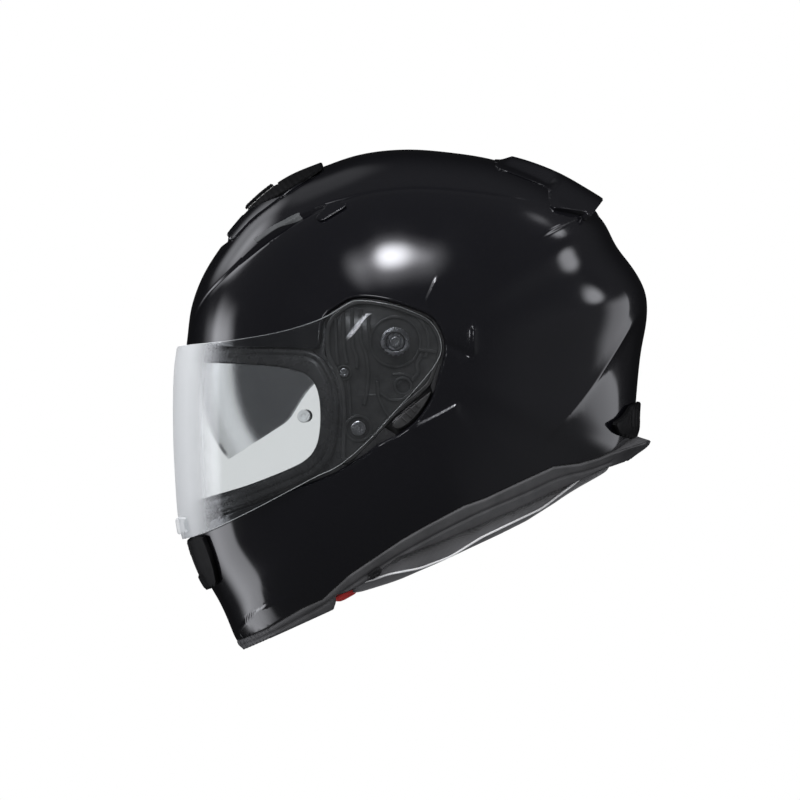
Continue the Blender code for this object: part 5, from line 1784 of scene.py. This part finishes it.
def panel_light(direction, along, half_w, soft_neg, soft_pos, half_l, soft_l, level):
    """A long light whose two sides fade over different angles."""
    d = Vector(direction).normalized()
    u = Vector(along)
    u = (u - d * u.dot(d)).normalized()
    w = d.cross(u)
    outs = []
    for ax, half, neg, pos in ((w, half_w, soft_neg, soft_pos), (u, half_l, soft_l, soft_l)):
        n = WN("ShaderNodeVectorMath")
        n.operation = "DOT_PRODUCT"
        wt.links.new(coord.outputs["Generated"], n.inputs[0])
        n.inputs[1].default_value = tuple(ax)
        a_ = wmath("ARCSINE", n.outputs["Value"])
        for lo, hi, to in ((half, half + pos, (1.0, 0.0)), (-half - neg, -half, (0.0, 1.0))):
            mr = WN("ShaderNodeMapRange")
            mr.interpolation_type = "SMOOTHERSTEP"
            mr.inputs["From Min"].default_value = radians(lo)
            mr.inputs["From Max"].default_value = radians(hi)
            mr.inputs["To Min"].default_value, mr.inputs["To Max"].default_value = to
            wt.links.new(a_, mr.inputs["Value"])
            outs.append(mr.outputs["Result"])
    f = WN("ShaderNodeVectorMath")
    f.operation = "DOT_PRODUCT"
    wt.links.new(coord.outputs["Generated"], f.inputs[0])
    f.inputs[1].default_value = tuple(d)
    total_ = wmath("GREATER_THAN", f.outputs["Value"], 0.0)
    for o in outs:
        total_ = wmath("MULTIPLY", total_, o)
    return wmath("MULTIPLY", total_, level)


def toward(az, el):
    """A direction from its angles in the worn frame: az from the wearer's left towards the back."""
    az, el = radians(az), radians(el)
    return (WORLD.to_3x3() @ Vector((cos(el) * cos(az), cos(el) * sin(az), sin(el)))).normalized()


def softbox(direction, half, soft, level):
    """A round light in the studio's sky: full inside half degrees, gone at half + soft."""
    d = WN("ShaderNodeVectorMath")
    d.operation = "DOT_PRODUCT"
    wt.links.new(coord.outputs["Generated"], d.inputs[0])
    d.inputs[1].default_value = tuple(direction)
    ang = wmath("ARCCOSINE", wmath("MINIMUM", d.outputs["Value"], 1.0))
    mr = WN("ShaderNodeMapRange")
    mr.interpolation_type = "SMOOTHERSTEP"
    mr.inputs["From Min"].default_value = radians(half)
    mr.inputs["From Max"].default_value = radians(half + soft)
    mr.inputs["To Min"].default_value = level
    mr.inputs["To Max"].default_value = 0.0
    wt.links.new(ang, mr.inputs["Value"])
    return mr.outputs["Result"]


def strip_light(direction, along, half_w, soft_w, half_l, soft_l, level):
    """A long light: direction to its middle, along its length, half sizes and fades in degrees."""
    d = Vector(direction).normalized()
    u = Vector(along)
    u = (u - d * u.dot(d)).normalized()
    w = d.cross(u)
    outs = []
    for ax, half, soft in ((w, half_w, soft_w), (u, half_l, soft_l)):
        n = WN("ShaderNodeVectorMath")
        n.operation = "DOT_PRODUCT"
        wt.links.new(coord.outputs["Generated"], n.inputs[0])
        n.inputs[1].default_value = tuple(ax)
        a_ = wmath("ABSOLUTE", wmath("ARCSINE", n.outputs["Value"]))
        mr = WN("ShaderNodeMapRange")
        mr.interpolation_type = "SMOOTHERSTEP"
        mr.inputs["From Min"].default_value = radians(half)
        mr.inputs["From Max"].default_value = radians(half + soft)
        mr.inputs["To Min"].default_value = 1.0
        mr.inputs["To Max"].default_value = 0.0
        wt.links.new(a_, mr.inputs["Value"])
        outs.append(mr.outputs["Result"])
    f = WN("ShaderNodeVectorMath")
    f.operation = "DOT_PRODUCT"
    wt.links.new(coord.outputs["Generated"], f.inputs[0])
    f.inputs[1].default_value = tuple(d)
    front = wmath("GREATER_THAN", f.outputs["Value"], 0.0)
    return wmath("MULTIPLY", wmath("MULTIPLY", outs[0], outs[1]), wmath("MULTIPLY", front, level))


UP = WORLD.to_3x3() @ Vector((0, 0, 1))
lights = [
    softbox(reflect_dir(-6, 69), 0, 13, 16.0),
    softbox(reflect_dir(-8, 67), 2, 20, 2.4),
    softbox(reflect_dir(105, 0), 12, 45, 0.09),
    softbox(toward(-143, 27), 3, 12, 0.62),
    softbox(toward(-131, 31), 2, 10, 0.9),
    softbox(reflect_dir(-60, 112, 0.0, shell_out), 4, 12, 0.12),
    softbox(toward(-12, 12), 2.5, 2.5, 9.0),
    strip_light(reflect_dir(-119, 14), UP, 3, 12, 3, 15, 1.8),
    panel_light(toward(-107, -25), UP, 7, 5, 22, 18, 24, 2.0),
    panel_light(toward(118, -4), UP, 7, 3, 19, 12, 13, 1.0),
    softbox(toward(93, 26), 2.0, 10, 2.8),
    softbox(toward(112, 52), 1.0, 8, 2.6),
]
away = WN("ShaderNodeVectorMath")
away.operation = "DOT_PRODUCT"
wt.links.new(coord.outputs["Generated"], away.inputs[0])
away.inputs[1].default_value = (1.0, 0.0, 0.0)
dusk = WN("ShaderNodeMapRange")
dusk.interpolation_type = "SMOOTHSTEP"
dusk.inputs["From Min"].default_value, dusk.inputs["From Max"].default_value = -0.92, -0.3
dusk.inputs["To Min"].default_value, dusk.inputs["To Max"].default_value = 0.008, 0.085
wt.links.new(away.outputs["Value"], dusk.inputs["Value"])
total = wmath("ADD", lights[0], dusk.outputs["Result"])
for l in lights[1:]:
    total = wmath("ADD", total, l)
comb = WN("ShaderNodeCombineColor")
for k, g in enumerate((0.98, 0.99, 1.05)):
    wt.links.new(wmath("MULTIPLY", total, g), comb.inputs[k])
wt.links.new(comb.outputs[0], bg_env.inputs["Color"])
wt.links.new(lp.outputs["Is Camera Ray"], mixs.inputs[0])
wt.links.new(bg_env.outputs[0], mixs.inputs[1])
wt.links.new(bg_cam.outputs[0], mixs.inputs[2])
wt.links.new(mixs.outputs[0], out.inputs["Surface"])


def area(name, direction, dist, size, power, spread=None):
    l = bpy.data.lights.new(name, "AREA")
    l.shape = "DISK"
    l.size = size
    l.energy = power
    ob = bpy.data.objects.new(name, l)
    scene.collection.objects.link(ob)
    d = Vector(direction).normalized()
    ob.location = Vector((0, 0, 0.13)) + d * dist
    ob.rotation_mode = "QUATERNION"
    ob.rotation_quaternion = (-d).to_track_quat("-Z", "Y")
    ob.visible_glossy = False
    ob.visible_camera = False
    return ob


area("key", (1.2, -0.5, 1.3), 1.6, 0.9, 16)
area("fill", (1.0, 0.9, 0.2), 1.8, 1.2, 6)
area("under", (0.9, 0.1, -0.25), 1.6, 0.9, 5)
area("back", (0.5, 1.3, 0.8), 1.7, 0.9, 12)

scene.view_settings.view_transform = "Standard"
scene.view_settings.look = "None"
